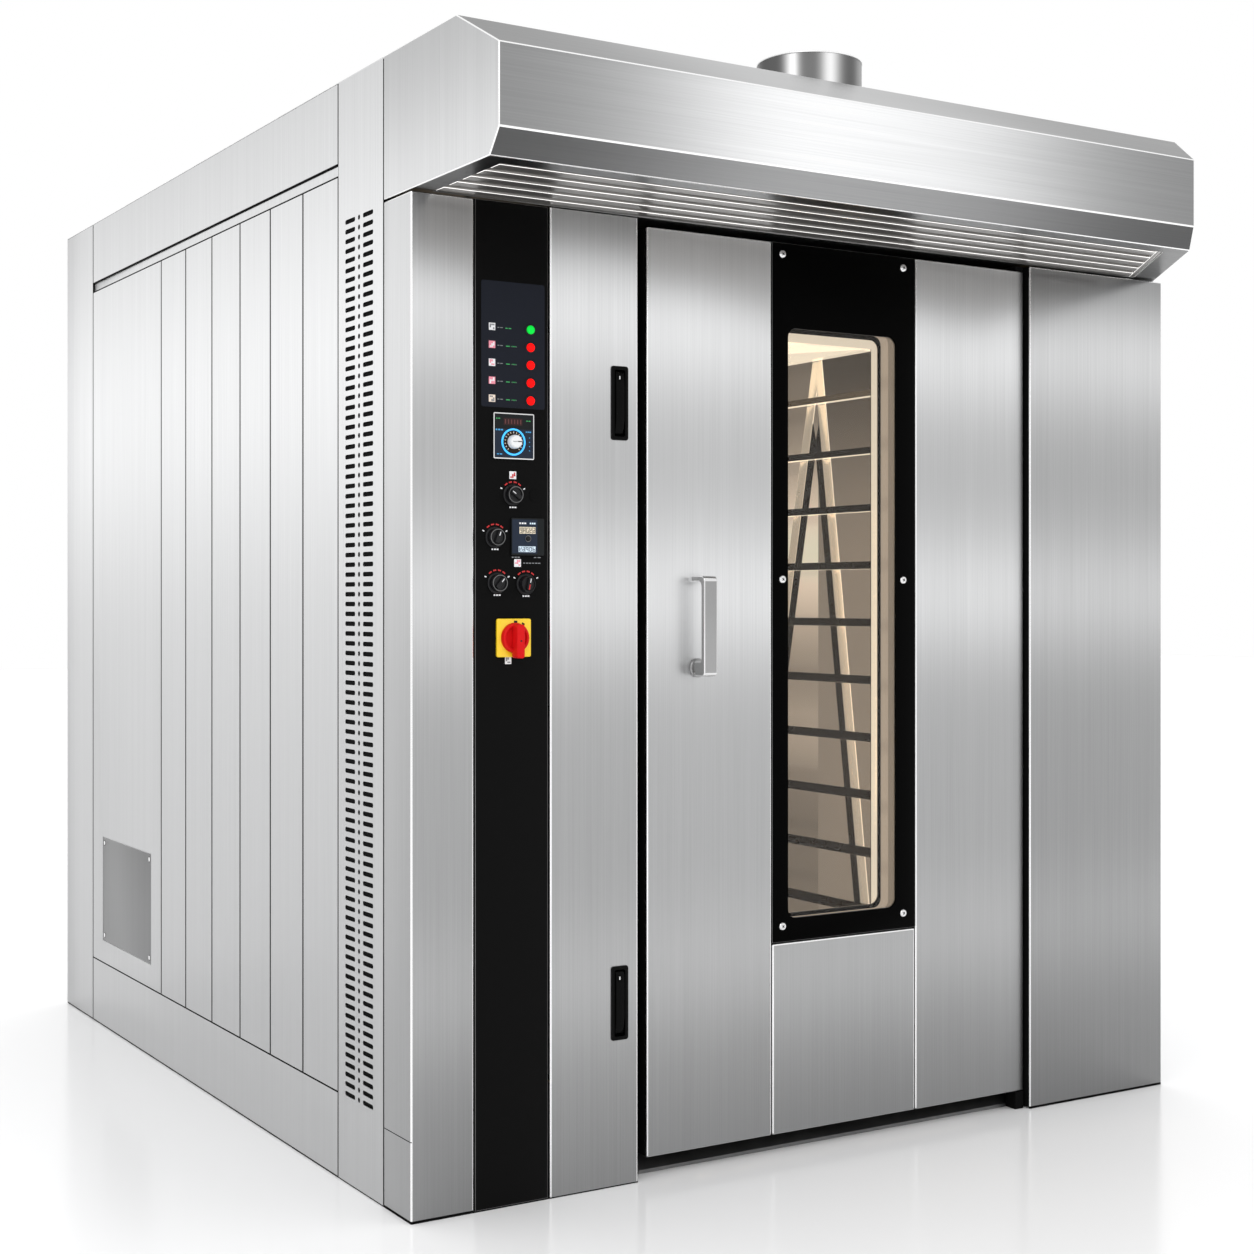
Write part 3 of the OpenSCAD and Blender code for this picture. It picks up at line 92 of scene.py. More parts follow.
class Signal:
    """A shader socket that takes part in Python arithmetic; each operator adds a Math node."""

    def __init__(self, recipe: "Recipe", socket: bpy.types.NodeSocket) -> None:
        """Wrap a socket.

        Args:
            recipe: The material recipe that the socket belongs to.
            socket: The output socket.
        """
        self.recipe = recipe
        self.socket = socket

    def __add__(self, other: "Term") -> "Signal":
        """Return self + other."""
        return self.recipe.math("ADD", self, other)

    def __radd__(self, other: "Term") -> "Signal":
        """Return other + self."""
        return self.recipe.math("ADD", other, self)

    def __sub__(self, other: "Term") -> "Signal":
        """Return self - other."""
        return self.recipe.math("SUBTRACT", self, other)

    def __rsub__(self, other: "Term") -> "Signal":
        """Return other - self."""
        return self.recipe.math("SUBTRACT", other, self)

    def __mul__(self, other: "Term") -> "Signal":
        """Return self * other."""
        return self.recipe.math("MULTIPLY", self, other)

    def __rmul__(self, other: "Term") -> "Signal":
        """Return other * self."""
        return self.recipe.math("MULTIPLY", other, self)

    def __truediv__(self, other: "Term") -> "Signal":
        """Return self / other."""
        return self.recipe.math("DIVIDE", self, other)

    def __abs__(self) -> "Signal":
        """Return the absolute value."""
        return self.recipe.math("ABSOLUTE", self)

    def __gt__(self, other: "Term") -> "Signal":
        """Return 1 where self is greater than other, else 0."""
        return self.recipe.math("GREATER_THAN", self, other)

    def __lt__(self, other: "Term") -> "Signal":
        """Return 1 where self is less than other, else 0."""
        return self.recipe.math("LESS_THAN", self, other)


Term = Union[Signal, float]


class Recipe:
    """Builds one node material round a Principled shader."""

    def __init__(self, name: str) -> None:
        """Create an empty material with a Principled shader.

        Args:
            name: The material's name.
        """
        self.material = bpy.data.materials.new(name)
        self.material.use_nodes = True
        self.tree = self.material.node_tree
        self.tree.nodes.clear()
        self.output = self.tree.nodes.new("ShaderNodeOutputMaterial")
        self.shader = self.tree.nodes.new("ShaderNodeBsdfPrincipled")
        self.tree.links.new(self.shader.outputs[0], self.output.inputs["Surface"])

    def node(self, kind: str, settings: Optional[Dict] = None,
             inputs: Optional[Dict] = None) -> bpy.types.Node:
        """Add a node.

        Args:
            kind: The node's type without its ShaderNode prefix.
            settings: Properties to set first; the key "stops" fills a colour ramp.
            inputs: Values, sockets or signals by input name or number.

        Returns:
            The new node.
        """
        made = self.tree.nodes.new("ShaderNode" + kind)
        for key, value in (settings or {}).items():
            if key == "stops":
                self._fill_ramp(made.color_ramp, value)
            else:
                setattr(made, key, value)
        for key, value in (inputs or {}).items():
            self.feed(made.inputs[key], value)
        return made

    @staticmethod
    def _fill_ramp(ramp: bpy.types.ColorRamp, stops: Stops) -> None:
        """Replace a ramp's stops by (position, colour) pairs."""
        while len(ramp.elements) > 1:
            ramp.elements.remove(ramp.elements[-1])
        ramp.elements[0].position = stops[0][0]
        ramp.elements[0].color = (*stops[0][1], 1.0)
        for position, colour in stops[1:]:
            ramp.elements.new(position).color = (*colour, 1.0)
        ramp.interpolation = "B_SPLINE"

    def feed(self, socket: bpy.types.NodeSocket, value) -> None:
        """Link a signal or a socket to an input, or set the input's own value."""
        if isinstance(value, Signal):
            value = value.socket
        if isinstance(value, bpy.types.NodeSocket):
            self.tree.links.new(value, socket)
        elif isinstance(value, (tuple, list)) and len(value) == 3 and socket.type == "RGBA":
            socket.default_value = (*value, 1.0)
        else:
            socket.default_value = value

    def math(self, operation: str, *terms: Term) -> Signal:
        """Add a Math node and return its result."""
        made = self.node("Math", {"operation": operation}, dict(enumerate(terms)))
        return Signal(self, made.outputs[0])

    def place(self) -> bpy.types.NodeSocket:
        """Return the Object coordinates."""
        return self.node("TexCoord").outputs["Object"]

    def split(self, vector: bpy.types.NodeSocket) -> Tuple[Signal, Signal, Signal]:
        """Return a vector's X, Y and Z."""
        parts = self.node("SeparateXYZ", None, {0: vector})
        return tuple(Signal(self, parts.outputs[i]) for i in range(3))

    def facing(self) -> Tuple[Signal, Signal, Signal]:
        """Return the surface normal's X, Y and Z in the piece's own space."""
        return self.split(self.node("TexCoord").outputs["Normal"])

    def stretched(self, vector: bpy.types.NodeSocket, scale: Point) -> bpy.types.NodeSocket:
        """Return a vector scaled along each axis."""
        made = self.node("VectorMath", {"operation": "MULTIPLY"}, {0: vector, 1: scale})
        return made.outputs[0]

    def noise(self, vector: bpy.types.NodeSocket, scale: float, detail: float = 2.0) -> Signal:
        """Return fractal noise from about 0 to 1."""
        made = self.node("TexNoise", None, {"Vector": vector, "Scale": scale, "Detail": detail})
        return Signal(self, made.outputs[0])

    def ramp(self, value: Term, stops: Stops) -> bpy.types.NodeSocket:
        """Return the colour of a ramp at value."""
        return self.node("ValToRGB", {"stops": stops}, {0: value}).outputs[0]

    def mix(self, factor: Term, first, second) -> bpy.types.NodeSocket:
        """Return a colour between first, at factor 0, and second, at factor 1."""
        made = self.node("Mix", {"data_type": "RGBA"}, {0: factor, 6: first, 7: second})
        return made.outputs[2]

    def scaled(self, colour, factor: Term) -> bpy.types.NodeSocket:
        """Return a colour multiplied by a number."""
        made = self.node("VectorMath", {"operation": "SCALE"}, {0: colour, "Scale": factor})
        return made.outputs[0]

    def bump(self, height: Signal, distance: float, strength: float = 1.0) -> None:
        """Roughen the surface by a height signal; distance is in metres."""
        made = self.node("Bump", None, {"Height": height, "Distance": distance, "Strength": strength})
        self.set(Normal=made.outputs[0])

    def set(self, **inputs) -> None:
        """Set or link inputs of the Principled shader; underscores stand for spaces."""
        for key, value in inputs.items():
            self.feed(self.shader.inputs[key.replace("_", " ")], value)


# ------------------------------------------------------------------ finishes


class Grain(Enum):
    """Direction of the brushing lines."""

    UPRIGHT = (360.0, 360.0, 2.0)
    ALONG_X = (2.0, 360.0, 360.0)
    ALONG_Y = (360.0, 2.0, 360.0)


@dataclass(frozen=True)
class Light:
    """Painted brightness along a sheet: an even slope and painted soft reflections of the room's light boxes.

    Attributes:
        foot: Display level at the start.
        rise: Change of the level per unit of place.
        boxes: Middle, half-width and strength of each painted reflection; a negative strength is a painted
            shadow.
    """

    foot: float
    rise: float = 0.0
    boxes: Tuple[Point, ...] = ()

    def stops(self, span: float, warmth: float, factor: float = 1.0, count: int = 28) -> Stops:
        """Return evenly spaced ramp stops from 0 to span."""
        made = []
        for number in range(count + 1):
            place = span * number / count
            glow = sum(gain * math.exp(-((place - middle) / spread) ** 2)
                       for middle, spread, gain in self.boxes)
            level = (self.foot + self.rise * place + glow) * factor
            made.append((number / count, grey(min(max(level, 0.0), 254.0), warmth)))
        return made


# Painted light: the tables below paint reflections of light boxes, and shadows such as the hood's shade, into
# the base colour of the sheets, the collar and the chamber walls.
FRONT_BOXES = ((0.45, 0.15, 20.0), (1.28, 0.16, 45.0), (1.88, 0.15, 45.0))
HOOD_SHADE = ((2.10, 0.08, -60.0),)
FRONT_LIGHT = Light(145.0, 25.0, FRONT_BOXES)
SHADED_FRONT_LIGHT = Light(145.0, 25.0, FRONT_BOXES + HOOD_SHADE)
SIDE_LIGHT = Light(185.0, 0.0, ((1.80, 0.65, 60.0),))
CORNER_SIDE_LIGHT = Light(165.0, 0.0, ((1.80, 0.70, 65.0),))
HOOD_LIGHT = Light(140.0, 0.0, ((0.28, 0.17, 85.0), (0.52, 0.20, 85.0)))
HOOD_SIDE_LIGHT = Light(180.0, 0.0, ((2.05, 0.25, 50.0),))
COLLAR_LIGHT = Light(95.0, 0.0,
                     ((0.0, 0.06, -50.0), (0.29, 0.06, 160.0), (0.65, 0.10, 160.0), (0.95, 0.04, 50.0)))
WALL_DIM_LIGHT = Light(138.0, 0.0, ((1.95, 0.30, -60.0),))
WALL_LIT_LIGHT = Light(120.0, 0.0, ((0.88, 0.10, 60.0), (1.40, 0.26, 130.0)))
SPAN = 2.5


@dataclass(frozen=True)
class BrushedSteel:
    """Satin stainless sheet with a painted sheen that swells and fades in soft bands.

    Attributes:
        name: The material's name.
        grain: Direction of the brushing lines.
        front: Painted light by height on faces that look forwards or backwards.
        side: Painted light by height on faces that look sideways.
        rising: Display level of faces that look upwards, painted as the light falls on tops, or with along_x
            their share of the front's tone.
        falling: The same for faces that look downwards, painted as shade.
        roughness: Mean roughness.
        level: Factor on every display level, which makes a sheet's painted sheen lighter or darker.
        warmth: Tint towards yellow.
        along_x: True where the front's light follows X over the casing's width, not the height.
    """

    name: str
    grain: Grain = Grain.UPRIGHT
    front: Light = FRONT_LIGHT
    side: Light = SIDE_LIGHT
    rising: float = 205.0
    falling: float = 170.0
    roughness: float = 0.32
    level: float = 1.0
    warmth: float = -0.006
    along_x: bool = False

    def make(self) -> bpy.types.Material:
        """Return the material."""
        recipe = Recipe(self.name)
        place = recipe.place()
        x, _, z = recipe.split(place)
        nx, _, nz = recipe.facing()
        across = (x - CAD_BOX[0][0]) / (CAD_BOX[1][0] - CAD_BOX[0][0])
        span = 1.0 if self.along_x else SPAN
        front = recipe.ramp(across if self.along_x else z / SPAN,
                            self.front.stops(span, self.warmth, self.level))
        side = recipe.ramp(z / SPAN, self.side.stops(SPAN, self.warmth, self.level))
        sideways = abs(nx) > 0.55
        tone = recipe.mix(sideways, front, side)
        # Painted light: faces that look up or down get their own painted level.
        for chosen, value in ((nz > 0.3, self.rising), (nz < -0.3, self.falling)):
            shaded = recipe.scaled(front, value) if self.along_x else grey(value * self.level, self.warmth)
            tone = recipe.mix(chosen, tone, shaded)
        upright = recipe.stretched(place, Grain.UPRIGHT.value)
        brushed = recipe.mix(sideways, recipe.stretched(place, self.grain.value), upright)
        fine = recipe.noise(brushed, 1.0, 3.0)
        broad = recipe.noise(brushed, 0.13, 2.0)
        shade = 1.0 + (fine - 0.5) * 0.24 + (broad - 0.5) * 0.09
        recipe.set(
            Base_Color=recipe.scaled(tone, shade),
            Metallic=1.0,
            Roughness=self.roughness + (fine - 0.5) * 0.14,
        )
        recipe.bump(fine, 0.00004, 0.4)
        return recipe.material


@dataclass(frozen=True)
class RolledSteel:
    """Polished round sheet with painted reflection stripes by the direction that it faces, as a tube in a
    white room shows.

    Attributes:
        name: The material's name.
        light: Painted light across the tube, from 0 at its left to 1 at its right.
        turn: Direction that shows the middle of the painted reflection, in degrees from the front to the
            left.
    """

    name: str
    light: Light
    turn: float = 31.6

    def make(self) -> bpy.types.Material:
        """Return the material."""
        recipe = Recipe(self.name)
        nx, ny, _ = recipe.facing()
        turn = math.radians(self.turn)
        across = nx * math.cos(turn) - ny * math.sin(turn)
        tone = recipe.ramp(across * 0.5 + 0.5, self.light.stops(1.0, 0.0))
        fine = recipe.noise(recipe.stretched(recipe.place(), Grain.UPRIGHT.value), 1.0, 3.0)
        recipe.set(
            Base_Color=recipe.scaled(tone, 1.0 + (fine - 0.5) * 0.08),
            Metallic=1.0,
            Roughness=0.3 + (fine - 0.5) * 0.1,
        )
        recipe.bump(fine, 0.00002, 0.3)
        return recipe.material


@dataclass(frozen=True)
class LitWall:
    """Chamber wall: grey-brown towards the front, cream towards the back, where the lamps' light is painted
    into its colour.

    Attributes:
        name: The material's name.
        edge: Distance of the cream part's edge behind the front plane, in metres.
        dim: Painted light by height on the front part.
        lit: Painted lamplight by height on the back part.
        warmth: Tint towards yellow.
        glow: Share of its painted light that the wall gives off by itself, standing in for the lamps' many
            reflections.
        pitch: Pitch of the soft painted shadows of the tray runners on the back part.
    """

    name: str
    edge: float = 0.83
    dim: Light = WALL_DIM_LIGHT
    lit: Light = WALL_LIT_LIGHT
    warmth: float = 0.24
    glow: float = 0.62
    pitch: float = 0.1457

    def make(self) -> bpy.types.Material:
        """Return the material."""
        recipe = Recipe(self.name)
        place = recipe.place()
        _, y, z = recipe.split(place)
        wave = recipe.math("SINE", z * (math.tau / self.pitch))
        shadow = 1.0 - 0.25 * recipe.math("MAXIMUM", wave - 0.55, 0.0)
        cloud = recipe.noise(recipe.stretched(place, (1.0, 1.0, 0.4)), 2.6, 3.0)
        dim, lit = (recipe.ramp(z / SPAN, light.stops(SPAN, self.warmth)) for light in (self.dim, self.lit))
        tone = recipe.mix(y > (FRONT + self.edge), dim, recipe.scaled(lit, shadow))
        tone = recipe.scaled(tone, 1.0 + (cloud - 0.5) * 0.16)
        recipe.set(
            Base_Color=recipe.scaled(tone, 1.0 - self.glow),
            Metallic=0.75,
            Roughness=0.30 + (cloud - 0.5) * 0.1,
            Emission_Color=recipe.scaled(tone, self.glow),
            Emission_Strength=1.0,
        )
        recipe.bump(cloud, 0.0002, 0.2)
        return recipe.material


@dataclass(frozen=True)
class Sheet:
    """Plain metal without bands: polished, satin or zinc-coated.

    Attributes:
        name: The material's name.
        colour: Base colour.
        roughness: Mean roughness.
        blotch: Strength of the cloudy variation.
        scale: Scale of the cloudy variation, per metre.
        metallic: 1 for bare metal.
        stretch: Factors that stretch the variation along each axis.
        glow: Strength of the light it gives off in its own colour.
    """

    name: str
    colour: Colour
    roughness: float = 0.3
    blotch: float = 0.12
    scale: float = 30.0
    metallic: float = 1.0
    stretch: Point = (1.0, 1.0, 1.0)
    glow: float = 0.0

    def make(self) -> bpy.types.Material:
        """Return the material."""
        recipe = Recipe(self.name)
        place = recipe.stretched(recipe.place(), self.stretch)
        cloud = recipe.noise(place, self.scale, 4.0)
        recipe.set(
            Base_Color=recipe.scaled(self.colour, 1.0 + (cloud - 0.5) * self.blotch * 2.0),
            Metallic=self.metallic,
            Roughness=self.roughness + (cloud - 0.5) * self.blotch,
            Emission_Color=(*self.colour, 1.0),
            Emission_Strength=self.glow,
        )
        recipe.bump(cloud, 0.0001, 0.25)
        return recipe.material


@dataclass(frozen=True)
class Moulded:
    """Plastic, paint or rubber with a fine texture.

    Attributes:
        name: The material's name.
        colour: Base colour.
        roughness: Mean roughness.
        texture: Depth of the moulded texture in metres.
        coat: Weight of a clear coat.
        glow: Strength of the light it gives off in its own colour.
        gloss: Specular level, 0.5 for common plastic.
    """

    name: str
    colour: Colour
    roughness: float = 0.45
    texture: float = 0.00004
    coat: float = 0.0
    glow: float = 0.0
    gloss: float = 0.5

    def make(self) -> bpy.types.Material:
        """Return the material."""
        recipe = Recipe(self.name)
        place = recipe.place()
        pores = recipe.noise(place, 900.0, 2.0)
        cloud = recipe.noise(place, 9.0, 3.0)
        recipe.set(
            Base_Color=recipe.scaled(self.colour, 1.0 + (cloud - 0.5) * 0.16),
            Roughness=self.roughness + (cloud - 0.5) * 0.1,
            Coat_Weight=self.coat,
            Specular_IOR_Level=self.gloss,
        )
        recipe.bump(pores, self.texture)
        if self.glow:
            recipe.set(Emission_Color=(*self.colour, 1.0), Emission_Strength=self.glow)
        return recipe.material


@dataclass(frozen=True)
class Glazing:
    """Clear toughened glass.

    Attributes:
        name: The material's name.
        tint: Base colour.
        alpha: Opacity.
        gloss: Specular level, low for glass with an anti-glare coating.
    """

    name: str
    tint: Colour
    alpha: float = 0.01
    gloss: float = 0.12

    def make(self) -> bpy.types.Material:
        """Return the material."""
        recipe = Recipe(self.name)
        haze = recipe.noise(recipe.place(), 3.0, 3.0)
        recipe.set(
            Base_Color=self.tint,
            Roughness=0.02 + haze * 0.03,
            Alpha=self.alpha + (haze - 0.5) * 0.006,
            IOR=1.5,
            Specular_IOR_Level=self.gloss,
        )
        return recipe.material


class Finishes:
    """Every material of the oven, made once and found by a plain name."""

    def __init__(self) -> None:
        """Make the materials."""
        recipes = (
            # Painted light: each brushed steel paints soft reflections into its base colour; the service and
            # right sheets also paint the hood's shadow, the levels make some sheets' painted sheen lighter or
            # darker, and the hood paints its top and chamfer darker.
            BrushedSteel("casing_steel"),
            BrushedSteel("roof_steel", Grain.ALONG_Y),
            BrushedSteel("corner_steel", side=CORNER_SIDE_LIGHT, level=0.98),
            BrushedSteel("service_steel", front=SHADED_FRONT_LIGHT),
            BrushedSteel("left_leaf_steel", level=1.03),
            BrushedSteel("right_leaf_steel"),
            BrushedSteel("right_steel", front=SHADED_FRONT_LIGHT, level=0.92),
            BrushedSteel("hood_steel", Grain.ALONG_X, HOOD_LIGHT, HOOD_SIDE_LIGHT, 0.485, 0.35, along_x=True),
            # The slats glow faintly, and their edges carry a glowing painted highlight.
            Sheet("slat_steel", grey(138, 0.04), 0.3, 0.10, 2.0, glow=0.16),
            Sheet("slat_edge_highlight", grey(248, 0.02), 0.25, 0.02, glow=0.80),
            RolledSteel("collar_steel", COLLAR_LIGHT),
            # The access plate's face gets a plain painted slope, a little darker towards the top.
            BrushedSteel("plate_steel", side=Light(138.0, -12.0), roughness=0.4),
            # Painted highlight on rounded folds, edges and rims.
            Sheet("bright_fold", grey(252), 0.25, 0.02),
            # Grey for trims and small parts, and a painted highlight on the rounded edges of black panels.
            Sheet("grey_trim_and_edge_highlight", grey(118), 0.35, 0.05),
            Sheet("zinc", grey(150), 0.5, 0.25, 18.0),
            Sheet("dull_steel", grey(120), 0.42, 0.15),
            # Chrome, also laid on the pull handle's front ends as a painted highlight.
            Sheet("chrome", grey(228), 0.1, 0.04),
            Sheet("handle_alloy", grey(160), 0.33, 0.06, 400.0),
            # The handle's back faces glow, painted light that keeps their mirror image in the door light.
            Sheet("glowing_handle_back", grey(205), 0.4, 0.04, 400.0, glow=0.6),
            Sheet("chamber_steel", (0.13, 0.10, 0.07), 0.55, 0.14, 2.2, 0.5, (1.0, 1.0, 0.35)),
            # Painted lamplight, runner shadows and glow on the chamber walls and the door's reveal.
            LitWall("wall_painted_light"),
            LitWall("reveal_painted_light", 0.056, Light(120.0), Light(155.0), 0.24, 0.85),
            # The rack's steel and its braces glow faintly as painted light; its painted highlight glows on
            # faces towards the door and the floor, and its painted shade darkens faces to the sides and
            # upwards.
            Sheet("rack_steel", (0.74, 0.66, 0.54), 0.22, 0.10, 8.0, glow=0.10),
            Sheet("brace_steel", (0.82, 0.70, 0.54), 0.25, 0.12, 8.0, glow=0.38),
            Sheet("rack_painted_highlight", (1.0, 0.86, 0.66), 0.2, 0.05, 8.0, glow=0.70),
            Sheet("rack_shade", (0.085, 0.070, 0.055), 0.25, 0.20, 12.0),
            Sheet("element_metal", (0.16, 0.12, 0.10), 0.5, 0.3, 12.0),
            Sheet("nickel", (0.55, 0.5, 0.42), 0.3, 0.1, 60.0),
            Moulded("column_black", (0.003, 0.003, 0.003), 0.55, 0.00001, gloss=0.06),
            Moulded("window_black", (0.0008, 0.0008, 0.0008), 0.4, 0.00001, gloss=0.02),
            # Black for black parts, and for seams, gaps, recesses and folds, where it stands for painted
            # shade.
            Moulded("seam_black", (0.004, 0.004, 0.004), 0.8, gloss=0.05),
            Moulded("tray_black", (0.002, 0.002, 0.002), 0.35, 0.00001, gloss=0.06),
            Moulded("panel_navy", (0.007, 0.009, 0.016), 0.5, 0.00001, gloss=0.15),
            Moulded("knob_black", (0.008, 0.008, 0.009), 0.35, 0.00003, gloss=0.25),
            Moulded("knob_white", (0.82, 0.83, 0.84), 0.3, 0.00002, 0.3),
            Moulded("instrument_black", (0.005, 0.007, 0.008), 0.4, 0.00001, gloss=0.2),
            Moulded("instrument_navy", (0.012, 0.020, 0.038), 0.4, 0.00001, gloss=0.2),
            Moulded("display_dark", (0.030, 0.012, 0.012), 0.4, 0.00001, gloss=0.2),
            Moulded("scale_brown", (0.020, 0.012, 0.008), 0.5, 0.00001, gloss=0.2),
            Moulded("ring_blue", (0.04, 0.42, 0.95), 0.3, 0.00001, 0.2, 0.75),
            Moulded("lamp_red", (0.90, 0.004, 0.004), 0.45, 0.0, 0.0, 0.9, 0.06),
            Moulded("lamp_green", (0.004, 0.60, 0.05), 0.45, 0.0, 0.0, 0.5, 0.06),
            Moulded("digit_red", (0.10, 0.02, 0.02), 0.4, 0.0, 0.0, 0.2),
            # The pale counter digits and wheels, and the dial's pale ticks, glow faintly: painted light.
            Moulded("digit_pale", (0.68, 0.60, 0.46), 0.4, 0.0, 0.0, 0.15),
            Moulded("wheel_pale", (0.58, 0.70, 0.80), 0.4, 0.0, 0.0, 0.15),
            Moulded("print_white", (0.80, 0.80, 0.82), 0.5),
            Moulded("print_grey", (0.20, 0.21, 0.22), 0.5),
            Moulded("print_pink", (0.80, 0.26, 0.34), 0.5),
            Moulded("print_cream", (0.78, 0.66, 0.56), 0.5),
            Moulded("print_green", (0.03, 0.36, 0.09), 0.5),
            Moulded("print_blue", (0.05, 0.36, 0.72), 0.5),
            Moulded("print_red", (0.55, 0.012, 0.014), 0.5),
            Moulded("switch_yellow", (0.90, 0.60, 0.012), 0.32, 0.00003, 0.2),
            Moulded("switch_red", (0.62, 0.006, 0.007), 0.42, 0.00003, gloss=0.12),
            Moulded("rubber", (0.018, 0.017, 0.016), 0.7, 0.0001),
            Moulded("motor_blue", (0.035, 0.10, 0.20), 0.4, 0.00006, 0.2),
            Moulded("relay_grey", (0.48, 0.49, 0.50), 0.5, 0.00005),
            Moulded("wheel_resin", (0.10, 0.07, 0.045), 0.5, 0.00006),
            Moulded("wool", (0.50, 0.44, 0.30), 0.9, 0.0012),
            Moulded("lamp_tube", (1.0, 0.80, 0.52), 0.4, 0.0, 0.0, 4.0),
            Glazing("door_glass", (0.93, 0.93, 0.90)),
        )
        self.by_name: Dict[str, bpy.types.Material] = {recipe.name: recipe.make() for recipe in recipes}

    def __getitem__(self, name: str) -> bpy.types.Material:
        """Return a material by its name."""
        return self.by_name[name]


# ------------------------------------------------------------------ bench work


Skins = Sequence[bpy.types.Material]


class Bench:
    """Modelling operators, used as by hand: pick up, shape, finish, set down."""

    @staticmethod
    def only(piece: bpy.types.Object) -> None:
        """Select one piece alone and make it active."""
        bpy.ops.object.select_all(action="DESELECT")
        piece.select_set(True)
        bpy.context.view_layer.objects.active = piece

    @staticmethod
    def settle(piece: bpy.types.Object) -> None:
        """Move the piece's place and size into its mesh."""
        Bench.only(piece)
        bpy.ops.object.transform_apply(location=True, rotation=True, scale=True)

    @staticmethod
    def smooth(piece: bpy.types.Object, angle: float = 32.0) -> None:
        """Shade the piece smooth except across edges sharper than angle, in degrees."""
        Bench.only(piece)
        bpy.ops.object.shade_smooth_by_angle(angle=math.radians(angle))

    @staticmethod
    def bevel(
        piece: bpy.types.Object, width: float, steps: int = 2, angle: float = 40.0, slot: int = -1,
        clamp: bool = True
    ) -> None:
        """Round a piece's sharp edges with a bevel modifier and apply it.

        Args:
            piece: The mesh object.
            width: Width of the rounding.
            steps: Number of segments.
            angle: Only edges sharper than this, in degrees, are rounded.
            slot: Material slot of the new faces, or -1 to keep their neighbours'.
            clamp: True to keep the roundings from running into one another.
        """
        Bench.only(piece)
        rounding = piece.modifiers.new("rounding", "BEVEL")
        rounding.width = width
        rounding.segments = steps
        rounding.limit_method = "ANGLE"
        rounding.angle_limit = math.radians(angle)
        rounding.material = slot
        rounding.use_clamp_overlap = clamp
        bpy.ops.object.modifier_apply(modifier=rounding.name)

    @staticmethod
    def dress(piece: bpy.types.Object, *materials: bpy.types.Material) -> None:
        """Give the piece its material slots."""
        piece.data.materials.clear()
        for material in materials:
            piece.data.materials.append(material)

    @staticmethod
    def block(
        name: str, low: Point, high: Point, skins: Skins = (), edge: float = 0.0, steps: int = 2
    ) -> bpy.types.Object:
        """Make a rounded block between two corners.

        Args:
            name: The piece's name.
            low: Lowest corner.
            high: Highest corner.
            skins: Its material, and a second one for the rounded edges.
            edge: Width of the rounded edges.
            steps: Segments of the rounding.

        Returns:
            The new object.
        """
        bpy.ops.object.select_all(action="DESELECT")
        bpy.ops.mesh.primitive_cube_add(size=1.0, location=[(a + b) / 2 for a, b in zip(low, high)])
        piece = bpy.context.object
        piece.name = name
        piece.scale = [b - a for a, b in zip(low, high)]
        Bench.settle(piece)
        Bench.dress(piece, *skins)
        if edge:
            Bench.bevel(piece, edge, steps, slot=1 if len(skins) > 1 else -1)
        Bench.smooth(piece)
        return piece

    @staticmethod
    def prism(
        name: str, outline: Sequence[Point], sweep: Point, skins: Skins = (), edge: float = 0.0,
        steps: int = 2
    ) -> bpy.types.Object:
        """Sweep a flat outline along a straight line.

        Args:
            name: The piece's name.
            outline: Corners of the outline, all in one plane.
            sweep: Length and direction of the sweep.
            skins: Its material, and a second one for the rounded edges.
            edge: Width of the rounded edges.
            steps: Segments of the rounding.

        Returns:
            The new object.
        """
        bpy.ops.object.select_all(action="DESELECT")
        bpy.ops.mesh.primitive_circle_add(vertices=len(outline), fill_type="NGON")
        piece = bpy.context.object
        piece.name = name
        for vertex, corner in zip(piece.data.vertices, outline):
            vertex.co = corner
        bpy.ops.object.mode_set(mode="EDIT")
        bpy.ops.mesh.select_all(action="SELECT")
        bpy.ops.mesh.extrude_region_move(TRANSFORM_OT_translate={"value": sweep})
        bpy.ops.mesh.select_all(action="SELECT")
        bpy.ops.mesh.normals_make_consistent(inside=False)
        bpy.ops.object.mode_set(mode="OBJECT")
        Bench.dress(piece, *skins)
        if edge:
            Bench.bevel(piece, edge, steps, slot=1 if len(skins) > 1 else -1, clamp=False)
        Bench.smooth(piece)
        return piece

    @staticmethod
    def rod(name: str, start: Point, end: Point, radius: float, skins: Skins = (),
            steps: int = 32) -> bpy.types.Object:
        """Make a round rod between two points."""
        line = Vector(end) - Vector(start)
        bpy.ops.object.select_all(action="DESELECT")
        bpy.ops.mesh.primitive_cylinder_add(
            vertices=steps, radius=radius, depth=line.length, location=(Vector(start) + Vector(end)) / 2,
            rotation=line.to_track_quat("Z", "Y").to_euler())
        piece = bpy.context.object
        piece.name = name
        Bench.settle(piece)
        Bench.dress(piece, *skins)
        Bench.smooth(piece)
        return piece

